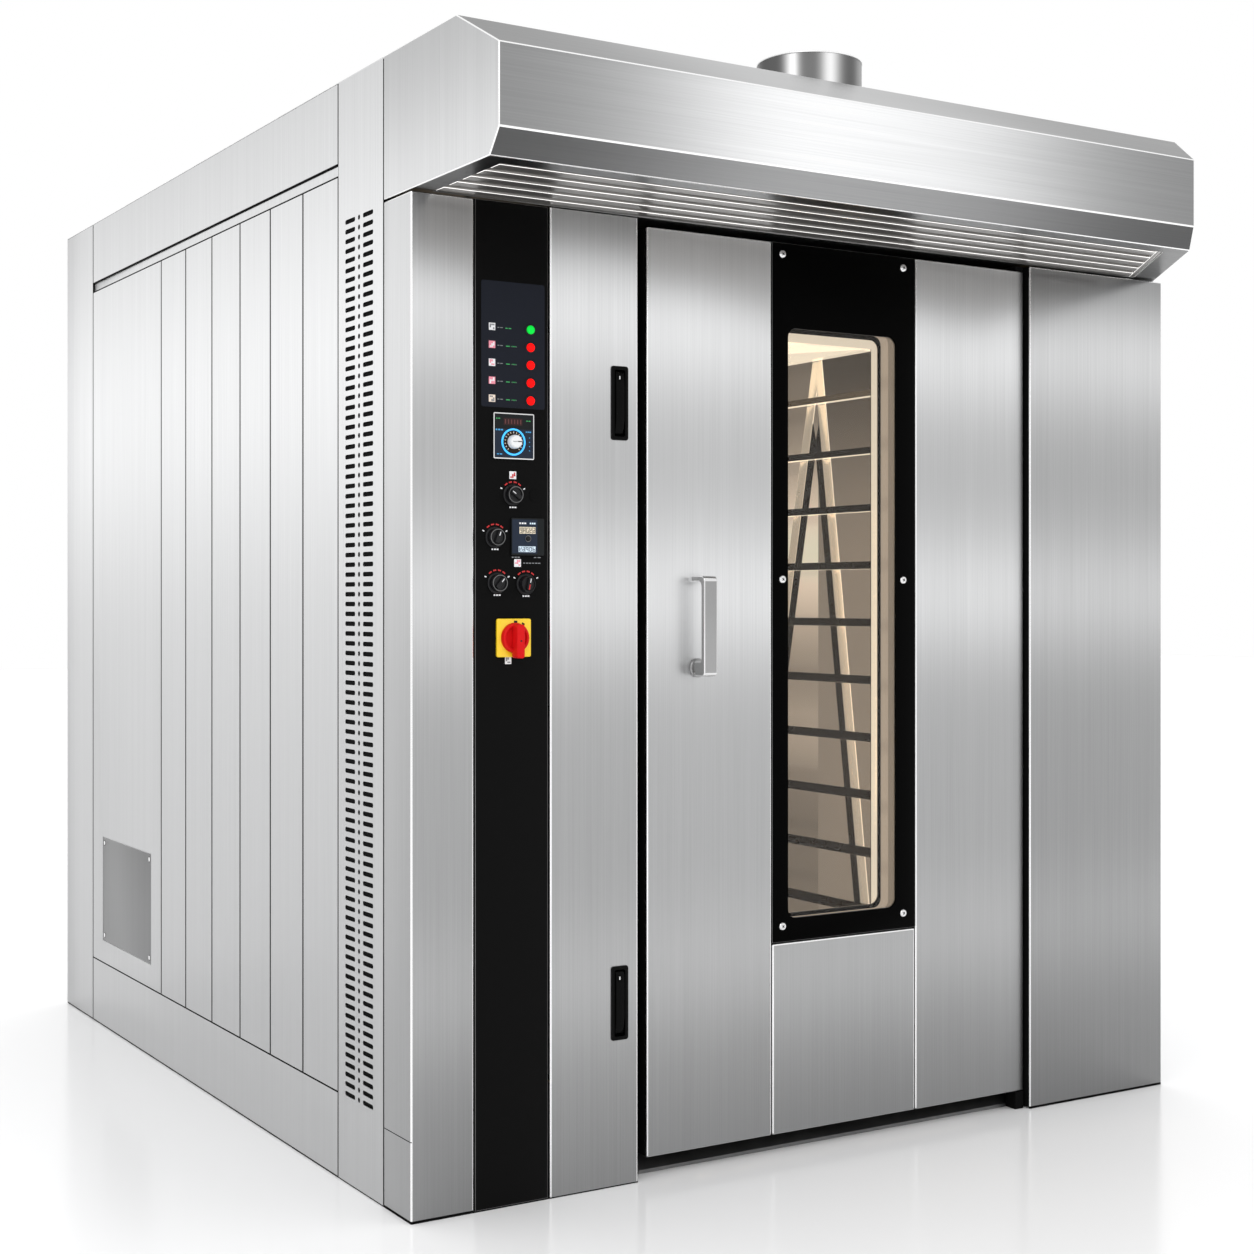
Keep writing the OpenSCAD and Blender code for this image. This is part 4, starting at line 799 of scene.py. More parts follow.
    @staticmethod
    def turned(
        name: str, profile: Sequence[Tuple[float, float]], centre: Point, skins: Skins = (), steps: int = 48
    ) -> bpy.types.Object:
        """Spin a profile about an axis that points forwards, out of a front panel.

        Args:
            name: The piece's name.
            profile: (radius, height in front of the panel) in millimetres, along the profile.
            centre: Where the axis meets the panel.
            skins: Its material.
            steps: Number of steps round the turn.

        Returns:
            The new object.
        """
        bpy.ops.object.select_all(action="DESELECT")
        bpy.ops.mesh.primitive_plane_add(size=1.0, location=(0.0, 0.0, 0.0))
        piece = bpy.context.object
        piece.name = name
        bpy.ops.object.mode_set(mode="EDIT")
        bpy.ops.mesh.select_all(action="SELECT")
        bpy.ops.mesh.merge(type="CENTER")
        radius, height = profile[0]
        bpy.ops.transform.translate(value=(centre[0] + radius * MM, centre[1] - height * MM, centre[2]))
        for (r0, h0), (r1, h1) in zip(profile, profile[1:]):
            bpy.ops.mesh.extrude_region_move(
                TRANSFORM_OT_translate={"value": ((r1 - r0) * MM, (h0 - h1) * MM, 0.0)})
        bpy.ops.mesh.select_all(action="SELECT")
        bpy.ops.mesh.spin(steps=steps, angle=math.tau, center=centre, axis=(0.0, 1.0, 0.0))
        bpy.ops.mesh.select_all(action="SELECT")
        bpy.ops.mesh.remove_doubles(threshold=0.000005)
        bpy.ops.mesh.normals_make_consistent(inside=False)
        bpy.ops.object.mode_set(mode="OBJECT")
        Bench.dress(piece, *skins)
        Bench.smooth(piece)
        return piece

    @staticmethod
    def cut(piece: bpy.types.Object, *tools: bpy.types.Object) -> None:
        """Cut tools out of a piece, and put the tools away."""
        for tool in tools:
            Bench.only(piece)
            carve = piece.modifiers.new("carve", "BOOLEAN")
            carve.operation = "DIFFERENCE"
            carve.solver = "EXACT"
            carve.object = tool
            bpy.ops.object.modifier_apply(modifier=carve.name)
            bpy.data.objects.remove(tool, do_unlink=True)
        Bench.smooth(piece)

    @staticmethod
    def join(name: str, pieces: Iterable[bpy.types.Object]) -> bpy.types.Object:
        """Join pieces into one object of the given name."""
        parts = list(pieces)
        bpy.ops.object.select_all(action="DESELECT")
        for piece in parts:
            piece.select_set(True)
        bpy.context.view_layer.objects.active = parts[0]
        if len(parts) > 1:
            bpy.ops.object.join()
        joined = bpy.context.object
        joined.name = name
        return joined

    @staticmethod
    def paint(piece: bpy.types.Object, slot: int, chosen: Callable[[bpy.types.MeshPolygon], bool]) -> None:
        """Move the chosen faces to a material slot."""
        for polygon in piece.data.polygons:
            if chosen(polygon):
                polygon.material_index = slot

    @staticmethod
    def folded(node: str, name: str, width: float, skins: Skins, steps: int = 2) -> bpy.types.Object:
        """Copy a packed sheet-metal node and round its folds, with the roundings in the second material.

        Args:
            node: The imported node.
            name: Name of the new piece.
            width: Width of the rounding.
            skins: Materials of the sheet and of its folds.
            steps: Segments of the rounding.

        Returns:
            The new object, which stands for the node.
        """
        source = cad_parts[node]
        piece = bpy.data.objects.new(name, source.data.copy())
        bpy.context.scene.collection.objects.link(piece)
        Bench.only(piece)
        bpy.ops.object.mode_set(mode="EDIT")
        bpy.ops.mesh.select_all(action="SELECT")
        bpy.ops.mesh.remove_doubles(threshold=0.00001)
        bpy.ops.mesh.dissolve_limited(angle_limit=math.radians(1.0))
        bpy.ops.object.mode_set(mode="OBJECT")
        if piece.data.has_custom_normals:
            bpy.ops.mesh.customdata_custom_splitnormals_clear()
        Bench.paint(piece, 0, lambda polygon: True)
        Bench.dress(piece, *skins)
        Bench.bevel(piece, width, steps, 40.0, 1)
        Bench.smooth(piece)
        return piece


def fit(piece: bpy.types.Object, body: str, slot: str, *nodes: str) -> bpy.types.Object:
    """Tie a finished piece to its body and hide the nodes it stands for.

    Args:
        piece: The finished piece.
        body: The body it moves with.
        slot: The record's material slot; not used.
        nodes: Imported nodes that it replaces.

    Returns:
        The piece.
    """
    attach(piece, body)
    if nodes:
        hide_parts(*nodes)
    LOG.info("%s rides on %s", piece.name, body)
    return piece


def rounded(x1: float, x2: float, z1: float, z2: float, y: float, radius: float,
            steps: int = 5) -> List[Point]:
    """Return a rounded rectangle's outline in a plane that faces forwards, in millimetres."""
    outline = []
    for number, (x, z) in enumerate(((x2 - radius, z2 - radius), (x1 + radius, z2 - radius),
                                     (x1 + radius, z1 + radius), (x2 - radius, z1 + radius))):
        for step in range(steps + 1):
            angle = math.radians(90 * number + 90 * step / steps)
            outline.append(spot(x + radius * math.cos(angle), y, z + radius * math.sin(angle)))
    return outline


@dataclass
class Marks:
    """Thin printed marks on a forward face, gathered in millimetres and made as one piece.

    Attributes:
        finishes: The materials.
        thickness: Thickness of one layer of print.
        plates: Corners, layer and finish of each mark.
    """

    finishes: "Finishes"
    thickness: float = 0.15
    plates: List[Tuple[List[Tuple[float, float]], int, str]] = field(default_factory=list)

    def bar(
        self, x: float, z: float, width: float, height: float, finish: str, turn: float = 0.0, layer: int = 1
    ) -> None:
        """Add a bar round a middle point, turned clockwise by turn degrees."""
        cos, sin = math.cos(math.radians(-turn)), math.sin(math.radians(-turn))
        corners = []
        for u, v in ((-1, -1), (1, -1), (1, 1), (-1, 1)):
            du, dv = u * width / 2, v * height / 2
            corners.append((x + du * cos - dv * sin, z + du * sin + dv * cos))
        self.plates.append((corners, layer, finish))

    def dashes(self, x1: float, x2: float, z: float, height: float, finish: str, count: int = 5) -> None:
        """Add a row of short dashes that stands for a caption."""
        pitch = (x2 - x1) / count
        for number in range(count):
            width = pitch * (0.78 if number % 3 else 0.62)
            self.bar(x1 + (number + 0.5) * pitch, z, width, height, finish)

    def icon(self, x: float, z: float, size: float, ground: str, ink: str, seed: int) -> None:
        """Add a square tile with a plain pattern of blocks."""
        self.bar(x, z, size, size, ground)
        for number in range(5):
            code = (seed * 7 + number * 5) % 9
            self.bar(x + (code % 3 - 1) * size * 0.26, z + (code // 3 - 1) * size * 0.26,
                     size * 0.22, size * (0.2 + 0.1 * (number % 2)), ink, layer=2)

    def scale(self, x: float, z: float, radius: float, ends: str, ink: str) -> None:
        """Add a selector's curved scale with a mark at each end."""
        for degrees in range(-48, 49, 8):
            if degrees % 24:
                angle = math.radians(degrees)
                self.bar(x + radius * math.sin(angle), z + radius * math.cos(angle), 3.6, 3.0, ink, degrees)
        for degrees in (-64, 64):
            angle = math.radians(degrees)
            self.bar(x + (radius + 3) * math.sin(angle), z + (radius + 3) * math.cos(angle), 2.4, 4.6, ends,
                     degrees)

    def digit(self, x: float, z: float, width: float, height: float, ground: str, ink: str,
              seed: int) -> None:
        """Add one cell of a counter: a pale tile with the strokes of a digit."""
        self.bar(x, z, width, height, ground)
        stroke = width * 0.16
        for number, (du, dv) in enumerate(((0, 1), (0, 0), (0, -1))):
            if (seed + number) % 4:
                self.bar(x + du, z + dv * height * 0.34, width * 0.56, stroke, ink, layer=2)
        for number, (du, dv) in enumerate(((-1, 1), (1, 1), (-1, -1), (1, -1))):
            if (seed + 2 * number) % 5:
                self.bar(x + du * width * 0.28, z + dv * height * 0.18, stroke, height * 0.34, ink, layer=2)

    def build(self, name: str, y: float) -> bpy.types.Object:
        """Make every mark as a thin plate in front of a face at y millimetres behind the front plane."""
        corners, faces, owners = [], [], []
        names = sorted({finish for _, _, finish in self.plates})
        for outline, layer, finish in self.plates:
            first = len(corners)
            for depth in (0.0, self.thickness * layer):
                corners.extend(spot(x, y - depth, z) for x, z in outline)
            faces.append([first + i for i in (4, 5, 6, 7)])
            faces.extend([first + i, first + (i + 1) % 4, first + 4 + (i + 1) % 4, first + 4 + i]
                         for i in range(4))
            owners.extend([names.index(finish)] * 5)
        mesh = bpy.data.meshes.new(name)
        mesh.from_pydata(corners, [], faces)
        piece = bpy.data.objects.new(name, mesh)
        bpy.context.scene.collection.objects.link(piece)
        Bench.dress(piece, *(self.finishes[finish] for finish in names))
        for polygon, owner in zip(mesh.polygons, owners):
            polygon.material_index = owner
        Bench.only(piece)
        bpy.ops.object.mode_set(mode="EDIT")
        bpy.ops.mesh.select_all(action="SELECT")
        bpy.ops.mesh.normals_make_consistent(inside=False)
        bpy.ops.object.mode_set(mode="OBJECT")
        return piece


# ------------------------------------------------------------------ sub-assemblies


@dataclass
class Casing:
    """Outer sheets of the oven.

    Attributes:
        finishes: The materials.
        fold_radius: Width of the rounding along folded edges.
        shade_strip_depth: How far the dark strips of painted shade lie behind the sheets' faces, in
            millimetres.
        front_h: Height of the front panels in millimetres.
        seams: Where the upright seams of a side start behind the front plane, in millimetres.
        levels: Foot and head of each horizontal seam of a side, in millimetres.
        seam: Width of a seam in millimetres.
        lap: How far a seam's groove runs on into the sheets beside it.
    """

    finishes: Finishes
    fold_radius: float = 2.2 * MM
    shade_strip_depth: float = 0.5
    front_h: float = 2092.0
    seams: Tuple[float, ...] = (133.0, 370.0, 573.0, 776.0, 979.0, 1182.0, 1385.0, 1588.0, 2234.0)
    levels: Tuple[Tuple[float, float], ...] = ((186.0, 191.0), (2186.0, 2191.0), (2213.5, 2217.5))
    seam: float = 3.0
    lap: float = 2.2

    # The sides' and the back's folds are painted black as shade in the seams; the roof's folds carry a
    # painted highlight.
    SHEETS = (
        ("side_panels", "casing_steel", "seam_black"),
        ("side_columns", "casing_steel", "seam_black"),
        ("side_bands", "casing_steel", "seam_black"),
        ("rear_panels", "casing_steel", "seam_black"),
        ("roof_panels", "roof_steel", "bright_fold"),
    )

    def build(self) -> None:
        """Build the folded sheets, the front's two corner sheets, the access plate and the dark strips of
        painted shade in the seams.
        """
        bright = self.finishes["bright_fold"]
        for node, *names in self.SHEETS:
            piece = Bench.folded(node, node + "_folded", self.fold_radius,
                                 [self.finishes[name] for name in names], 3)
            if node.startswith("side"):
                self.widen_seams(piece)
            fit(piece, "casing", "brushed_steel", node)
        corner = ((0, 0), (142, 0), (142, 20), (130, 20), (130, 10), (10, 10), (10, 121), (20, 121),
                  (20, 133), (0, 133))
        skins = (self.finishes["corner_steel"], bright, self.finishes["seam_black"])
        piece = self.upright("corner_column_sheet", corner, skins)
        # Painted shade: the groove near the foot is painted black.
        Bench.cut(piece, Bench.block("groove", spot(-1, -1, 165), spot(2, 140, 167)))
        groove = [z * MM for z in (164.5, 167.5)]
        Bench.paint(piece, 2, lambda face: groove[0] < face.center.z < groove[1])
        fit(piece, "casing", "brushed_steel", "corner_column")
        right = ((1687, 0), (2150, 0), (2150, 133), (2130, 133), (2130, 123), (2140, 123),
                 (2140, 10), (1697, 10), (1697, 92), (1687, 92))
        panel = self.upright("right_front_sheet", right, (self.finishes["right_steel"], bright, skins[2]))
        # Painted shade: the jamb's inner faces are painted black.
        jamb = spot(1699, 4, 0)
        Bench.paint(panel, 2, lambda face: face.center.x < jamb[0] and face.center.y > jamb[1])
        fit(panel, "casing", "brushed_steel", "right_front_panel")
        self.plate()
        self.lay_shade_strips()

    def upright(self, name: str, outline: Sequence[Tuple[float, float]], skins: Skins) -> bpy.types.Object:
        """Raise a front sheet from its plan, with a painted highlight on its rounded edges and a foot painted
        dark as the shadow gap at the floor.
        """
        plan = [spot(x, y, 3) for x, y in outline]
        sheet = Bench.prism(name, plan, (0.0, 0.0, (self.front_h - 3) * MM), skins, 3.2 * MM, 3)
        Bench.paint(sheet, 2, lambda face: face.center.z < 6 * MM)
        return sheet

    def seam_spans(self) -> List[Tuple[float, float, float]]:
        """Return the start, foot and head of each upright seam; those between planks stop at the ledges."""
        ends = (self.seams[0], self.seams[1], self.seams[-1])
        return [(y, 5.0, 2390.0) if y in ends else (y, 190.0, 2187.0) for y in self.seams]

    def widen_seams(self, piece: bpy.types.Object) -> None:
        """Cut a shallow groove along each upright seam of both sides and paint its faces black as shade."""
        tools = []
        for y, foot, head in self.seam_spans():
            low, high = y - self.lap, y + self.seam + self.lap
            for x1, x2 in ((-1, self.shade_strip_depth + 0.2),
                           (self.width() - self.shade_strip_depth - 0.2, self.width() + 1)):
                tools.append(Bench.block("groove", spot(x1, low, foot - 4), spot(x2, high, head + 4)))
        Bench.cut(piece, Bench.join("grooves", tools))
        rims = [spot(x, 0, 0)[0] for x in (0.1, self.shade_strip_depth + 0.3, self.width() - self.shade_strip_depth - 0.3)]
        Bench.paint(piece, 1, lambda face: abs(face.normal.x) > 0.9 and (
            rims[0] < face.center.x < rims[1] or rims[2] < face.center.x < -rims[0]))

    @staticmethod
    def width() -> float:
        """Return the casing's width in millimetres."""
        return (CAD_BOX[1][0] - CAD_BOX[0][0]) / MM

    def plate(self) -> None:
        """Build the access plate in the left side with a screw at each corner; the plate's rounded edge has a
        painted highlight and each screw head a dark ring of painted shade.
        """
        low, high = (tuple(corner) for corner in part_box("access_plate"))
        back = low[0] + 2 * MM
        face = Bench.block("face", (low[0] + 0.5 * MM, *low[1:]), (back, *high[1:]),
                           (self.finishes["plate_steel"], self.finishes["bright_fold"]), 0.5 * MM)
        parts = [face]
        for y in (low[1] + 16 * MM, high[1] - 16 * MM):
            for z in (low[2] + 16 * MM, high[2] - 16 * MM):
                ring = Bench.rod("ring", (low[0] + 0.3 * MM, y, z), (back, y, z), 8 * MM,
                                 (self.finishes["seam_black"],), 24)
                head = Bench.rod("head", (low[0], y, z), (back, y, z), 6.6 * MM, (self.finishes["chrome"],),
                                 24)
                parts += [ring, head]
        fit(Bench.join("access_plate_face", parts), "casing", "dark_steel", "access_plate")

    def lay_shade_strips(self) -> None:
        """Lay dark strips of painted shade in the seams and under the skirts, and a dark backing behind the
        vent slots as painted shade there.
        """
        skin = (self.finishes["seam_black"],)
        strips = []
        for x in (self.shade_strip_depth, self.width() - self.shade_strip_depth - 4):
            for y, foot, head in self.seam_spans():
                strips.append(Bench.block("seal", spot(x, y, foot), spot(x + 4, y + self.seam, head), skin,
                                          0.1 * MM))
            for low, high in self.levels:
                strips.append(Bench.block("sill", spot(x, 374, low), spot(x + 4, 2236, high), skin, 0.1 * MM))
            strips.append(Bench.block("skirt", spot(x, 2, 0.1), spot(x + 4, 2514, 2.9), skin, 0.1 * MM))
        for x1, x2 in ((2, 541), (1688, 2148)):
            strips.append(Bench.block("skirt", spot(x1, 0.6, 0.1), spot(x2, 4, 2.9), skin, 0.1 * MM))
        strips.append(Bench.block("vent_shade_backing", spot(2.3, 139, 180), spot(4.3, 367, 2200), skin))
        fit(Bench.join("side_seam_shade_strips", strips), "casing", "gasket")


@dataclass
class Hood:
    """Steam hood with a chamfered front, a raked right end, slats and the exhaust collar.

    Attributes:
        finishes: The materials.
        low: Height of the underside in millimetres.
        high: Height of the flat top.
        wall: Thickness of the visual sheet.
    """

    finishes: Finishes
    low: float = 2096.0
    high: float = 2395.0
    wall: float = 4.0

    def outline(self, x: float, inset: float) -> List[Point]:
        """Return the hood's side outline at x, moved inwards by inset."""
        low, high = self.low, self.high
        section = (
            (133 - inset, low + inset), (133 - inset, high - inset), (-203 + inset * 0.25, high - inset),
            (-380 + inset, low + 206 - inset * 0.6), (-380 + inset, low + 48 + inset * 0.4),
            (-341 + inset * 0.6, low + inset),
        )
        return [spot(x, y, z) for y, z in section]

    def rake(self, inset: float) -> bpy.types.Object:
        """Return a cutter for everything right of the raked end, moved inwards by inset."""
        tool = Bench.block("rake_tool", (0.0, -1.5, 0.0), (1.5, 1.5, 1.0))
        turn = Matrix.Rotation(math.radians(-36), 4, "Z")
        tool.data.transform(Matrix.Translation(spot(2126 - inset / math.cos(math.radians(36)), 0,
                                                    self.low - 300)) @ turn)
        return tool

    def build(self) -> None:
        """Build the shell with a painted highlight on its rounded edges, the slats with glowing painted
        highlights on their edges, and the collar.
        """
        steel, bright = self.finishes["hood_steel"], self.finishes["bright_fold"]
        shell = Bench.prism("hood_canopy", self.outline(0, 0), (2.150, 0.0, 0.0), (steel, bright))
        Bench.cut(shell, self.rake(0))
        Bench.bevel(shell, 2.2 * MM, 3, 25.0, 1)
        hollow = Bench.prism("hollow", self.outline(self.wall, self.wall),
                             ((2150 - 2 * self.wall) * MM, 0.0, 0.0))
        Bench.cut(hollow, self.rake(self.wall))
        mouth = Bench.block("mouth", spot(50, -295, self.low - 5), spot(2150, 5, self.low + self.wall + 1))
        Bench.cut(mouth, self.rake(60))
        vent = Bench.rod("vent", spot(1010, 8, self.high - 10), spot(1010, 8, self.high + 5), 118 * MM,
                         steps=48)
        Bench.cut(shell, hollow, mouth, vent)
        fit(shell, "casing", "brushed_steel", "hood_shell")
        slats = Bench.folded("hood_slats", "hood_slats_folded", 1.6 * MM,
                             (self.finishes["slat_steel"], self.finishes["slat_edge_highlight"]))
        fit(slats, "casing", "dark_steel", "hood_slats")
        self.collar()

    def collar(self) -> None:
        """Build the collar with its flange and rolled rim; the rim carries a painted highlight and the tube
        painted reflection stripes.
        """
        skins = (self.finishes["collar_steel"],)
        bpy.ops.mesh.primitive_torus_add(
            location=spot(1010, 8, 2492.5), major_radius=119.5 * MM, minor_radius=2.4 * MM, major_segments=96,
            minor_segments=12)
        rim = bpy.context.object
        Bench.settle(rim)
        Bench.dress(rim, self.finishes["bright_fold"])
        Bench.smooth(rim)
        tube = Bench.folded("exhaust_collar", "tube", 0.5 * MM, skins)
        fit(Bench.join("exhaust_collar_tube", (tube, rim)), "casing", "brushed_steel", "exhaust_collar")


@dataclass
class Controls:
    """Black control column: navy lamp panel, thermostat, selectors, timer and main switch.

    Attributes:
        finishes: The materials.
        knob_x: Distance of the thermostat's axis from the casing's left side, in millimetres.
        dial_z: Height of the thermostat's axis.
    """

    finishes: Finishes
    knob_x: float = 232.72
    dial_z: float = 1593.0

    def build(self) -> None:
        """Build everything on the control column."""
        self.column()
        self.lamps()
        self.thermostat()
        self.selectors()
        self.timer()
        self.main_switch()
        self.prints()

    def skin(self, *names: str) -> List[bpy.types.Material]:
        """Return materials by name."""
        return [self.finishes[name] for name in names]

    def column(self) -> None:
        """Build the black sheet with its returns and a painted highlight on its rounded front edge, and the
        navy panel behind the lamps.
        """
        skins = self.skin("column_black", "grey_trim_and_edge_highlight")
        face = Bench.block("face", spot(145, 0, 3), spot(317, 10, 2092), skins, 1.2 * MM)
        left = Bench.block("left", spot(145, 8, 3), spot(148, 45, 2092), skins[:1])
        right = Bench.block("right", spot(314, 8, 3), spot(317, 45, 2092), skins[:1])
        fit(Bench.join("control_column", (face, left, right)), "casing", "fascia_black", "control_fascia")
        panel = Bench.prism("navy_panel", rounded(159, 309, 1664, 1926, 0, 5), (0.0, -0.5 * MM, 0.0),
                            self.skin("panel_navy"))
        plug = Bench.turned("blanking_plug", ((14, 0), (14, 0.8), (12.5, 1.2), (0, 1.2)), spot(286, 0, 1483),
                            self.skin("column_black"))
        fit(panel, "casing", "fascia_black")
        fit(plug, "casing", "knob_black")

    def lamps(self) -> None:
        """Build the five domed lamps: the top one green, the others red."""
        made = []
        for number in range(5):
            centre = spot(274, 0, 1681 + 37.2 * number)
            lens = ((8.8, 0.6), (9.2, 2), (9.2, 4), (8.3, 5.8), (5.8, 7.4), (2.9, 8.2), (0, 8.4))
            colour = "lamp_green" if number == 4 else "lamp_red"
            made.append(Bench.turned("lens", lens, centre, self.skin(colour), 32))
            made.append(Bench.turned("rim", ((11.5, 0.4), (11.5, 1.4), (10.4, 2.2), (9, 2.2), (9, 0.6)),
                                     centre,
                                     self.skin("knob_black"), 32))
        fit(Bench.join("signal_lamps", made), "casing", "lamp_lens", "indicator_lamps")

    def thermostat(self) -> None:
        """Build the thermostat: silver frame, dark face, glowing ring and white knob."""
        x, z = self.knob_x, self.dial_z
        mid, half = z + 12, 48
        rim = Bench.prism("rim", rounded(x - half, x + half, mid - half, mid + half, 0, 3), (0, -6 * MM, 0),
                          self.skin("chrome"), 0.8 * MM)
        half -= 2.4
        Bench.cut(rim, Bench.block("well", spot(x - half, -7, mid - half), spot(x + half, -3, mid + half)))
        face = Bench.block("face", spot(x - half, -3.4, mid - half), spot(x + half, -3, mid + 15),
                           self.skin("instrument_navy"))
        strip = Bench.block("strip", spot(x - half, -3.6, mid + 15), spot(x + half, -3, mid + half),
                            self.skin("instrument_black"))
        ring = Bench.turned("ring", ((24.4, 3), (24.6, 4.6), (26.2, 5.2), (28, 4.8), (28.6, 3)),
                            spot(x, 0, z),
                            self.skin("ring_blue"), 64)
        scale = Bench.turned("scale", ((14, 3), (14, 4.2), (23.5, 4.2), (24.3, 3)), spot(x, 0, z),
                             self.skin("scale_brown"), 64)
        fit(Bench.join("thermostat_front", (rim, face, strip, ring, scale)), "casing", "bezel_black",
            "thermostat_bezel")
        knob = Bench.turned("knob", ((0, 4.6), (14.6, 4.6), (14.6, 12), (13.6, 17), (12, 19), (0, 19.6)),
                            spot(x, 0, z),
                            self.skin("knob_white"), 64)
        hand = Bench.block("hand", spot(x + 2, -19.9, z - 0.8), spot(x + 11.5, -19, z + 1.2),
                           self.skin("knob_black"), 0.2 * MM)
        hub = Bench.block("hub", spot(x - 9, -19.9, z - 0.3), spot(x + 1, -19, z + 0.5),
                          self.skin("grey_trim_and_edge_highlight"), 0.1 * MM)
        fit(Bench.join("thermostat_dial", (knob, hand, hub)), "thermostat_knob", "knob_white",
            "thermostat_knob")

    def selectors(self) -> None:
        """Build the four selectors: a collar on the column and a winged knob that turns."""
        x, z = self.knob_x, self.dial_z
        places = ((x, z - 110, -55), (x - 42, z - 199, 20), (x - 37, z - 294, 40), (x + 31, z - 296, 12))
        collars = []
        for number, (cx, cz, aim) in enumerate(places, 1):
            centre = spot(cx, 0, cz)
            collars.append(Bench.turned("collar",
                                        ((22.3, 0), (22.3, 2.2), (20.5, 3.8), (17.6, 3.8), (17.6, 0)), centre,
                                        self.skin("knob_black")))
            if number < 4:
                collars.append(Bench.turned("ring",
                                            ((15.4, 14.6), (15.6, 15.6), (17, 15.8), (17.4, 14.8),
                                             (16.9, 14)),
                                            centre, self.skin("grey_trim_and_edge_highlight")))
            grip = Bench.turned("grip",
                                ((0, 4.4), (17, 4.4), (17, 9), (16, 14.4), (14.4, 15), (13.8, 12.6),
                                 (0, 12.6)),
                                centre, self.skin("knob_black"))
            wing = Bench.block("wing", spot(cx - 4.2, -20, cz - 13), spot(cx + 4.2, -9, cz + 13),
                               self.skin("knob_black"), 2 * MM, 3)
            tip = Bench.block("tip", spot(cx - 0.9, -20.4, cz + 3), spot(cx + 0.9, -19.6, cz + 11.5),
                              self.skin("print_white"), 0.2 * MM)
            parts = [grip, wing, tip]
            if number == 4:
                parts.append(Bench.block("tail", spot(cx - 1.2, -20.4, cz - 12),
                                         spot(cx + 1.2, -19.6, cz - 1),
                                         self.skin("print_red"), 0.2 * MM))
            if number < 4:
                parts.append(collars.pop())
            knob = Bench.join(f"selector_dial_{number}", parts)
            about = Matrix.Translation(centre) @ Matrix.Rotation(math.radians(aim), 4, "Y")
            knob.data.transform(about @ Matrix.Translation(-Vector(centre)))
            fit(knob, f"selector_knob_{number}", "knob_black", f"selector_knob_{number}")
        fit(Bench.join("selector_rings", collars), "casing", "knob_black", "selector_collars")

    def timer(self) -> None:
        """Build the timer's case and its push button."""
        x, z = self.knob_x + 34, self.dial_z - 197
        case = Bench.prism("case", rounded(x - 39, x + 39, z - 39, z + 39, 0, 3), (0, -4.5 * MM, 0),
                           self.skin("instrument_black"), 0.8 * MM)
        face = Bench.prism("face", rounded(x - 37.5, x + 22, z - 35, z + 36, -4.4, 2), (0, -0.6 * MM, 0),
                           self.skin("instrument_navy"))
        for sheet in (case, face):
            Bench.cut(sheet, Bench.rod("bore", spot(x, -6, z - 4), spot(x, 1, z - 4), 5.2 * MM, steps=32))
        guide = Bench.turned("guide", ((5.6, 4), (5.6, 5.8), (6.8, 5.8), (7, 4)), spot(x, 0, z - 4),
                             self.skin("grey_trim_and_edge_highlight"), 32)
        fit(Bench.join("timer_front", (case, face, guide)), "casing", "bezel_black", "timer_case")
        button = Bench.turned("timer_push", ((0, 5.2), (4.7, 5.2), (4.7, 8.2), (4, 9.2), (0, 9.4)),
                              spot(x, 0, z - 4),
                              self.skin("knob_black"), 32)
        fit(button, "timer_button", "button_grey", "timer_button")

    def main_switch(self) -> None:
        """Build the yellow plate and the red rotary handle."""
        x, z = self.knob_x, self.dial_z - 408
        plate = Bench.prism("switch_base", rounded(x - 40, x + 40, z - 40, z + 40, 0, 4), (0, -7 * MM, 0),
                            self.skin("switch_yellow"), 1.5 * MM, 3)
        step = Bench.prism("step", rounded(x - 33, x + 39, z - 39, z + 39, -6.8, 3), (0, -0.7 * MM, 0),
                           self.skin("switch_yellow"), 0.3 * MM)
        fit(Bench.join("switch_front", (plate, step)), "casing", "switch_yellow", "switch_plate")
        disc = Bench.turned("disc",
                            ((0, 8), (31.6, 8), (31.6, 13), (30.4, 17), (27, 19), (24.5, 18.4), (23, 14),
                             (0, 14)),
                            spot(x, 0, z), self.skin("switch_red"), 64)
        bar = Bench.prism("bar", rounded(x - 9, x + 9, z - 42, z + 28, -13, 5), (0, -25 * MM, 0),
                          self.skin("switch_red"), 2.2 * MM, 3)
        hole = Bench.rod("hole", spot(x, -38.2, z - 6), spot(x, -37, z - 6), 2 * MM, self.skin("knob_black"),
                         24)
        fit(Bench.join("switch_handle", (disc, bar, hole)), "main_switch", "switch_red", "main_switch_knob")

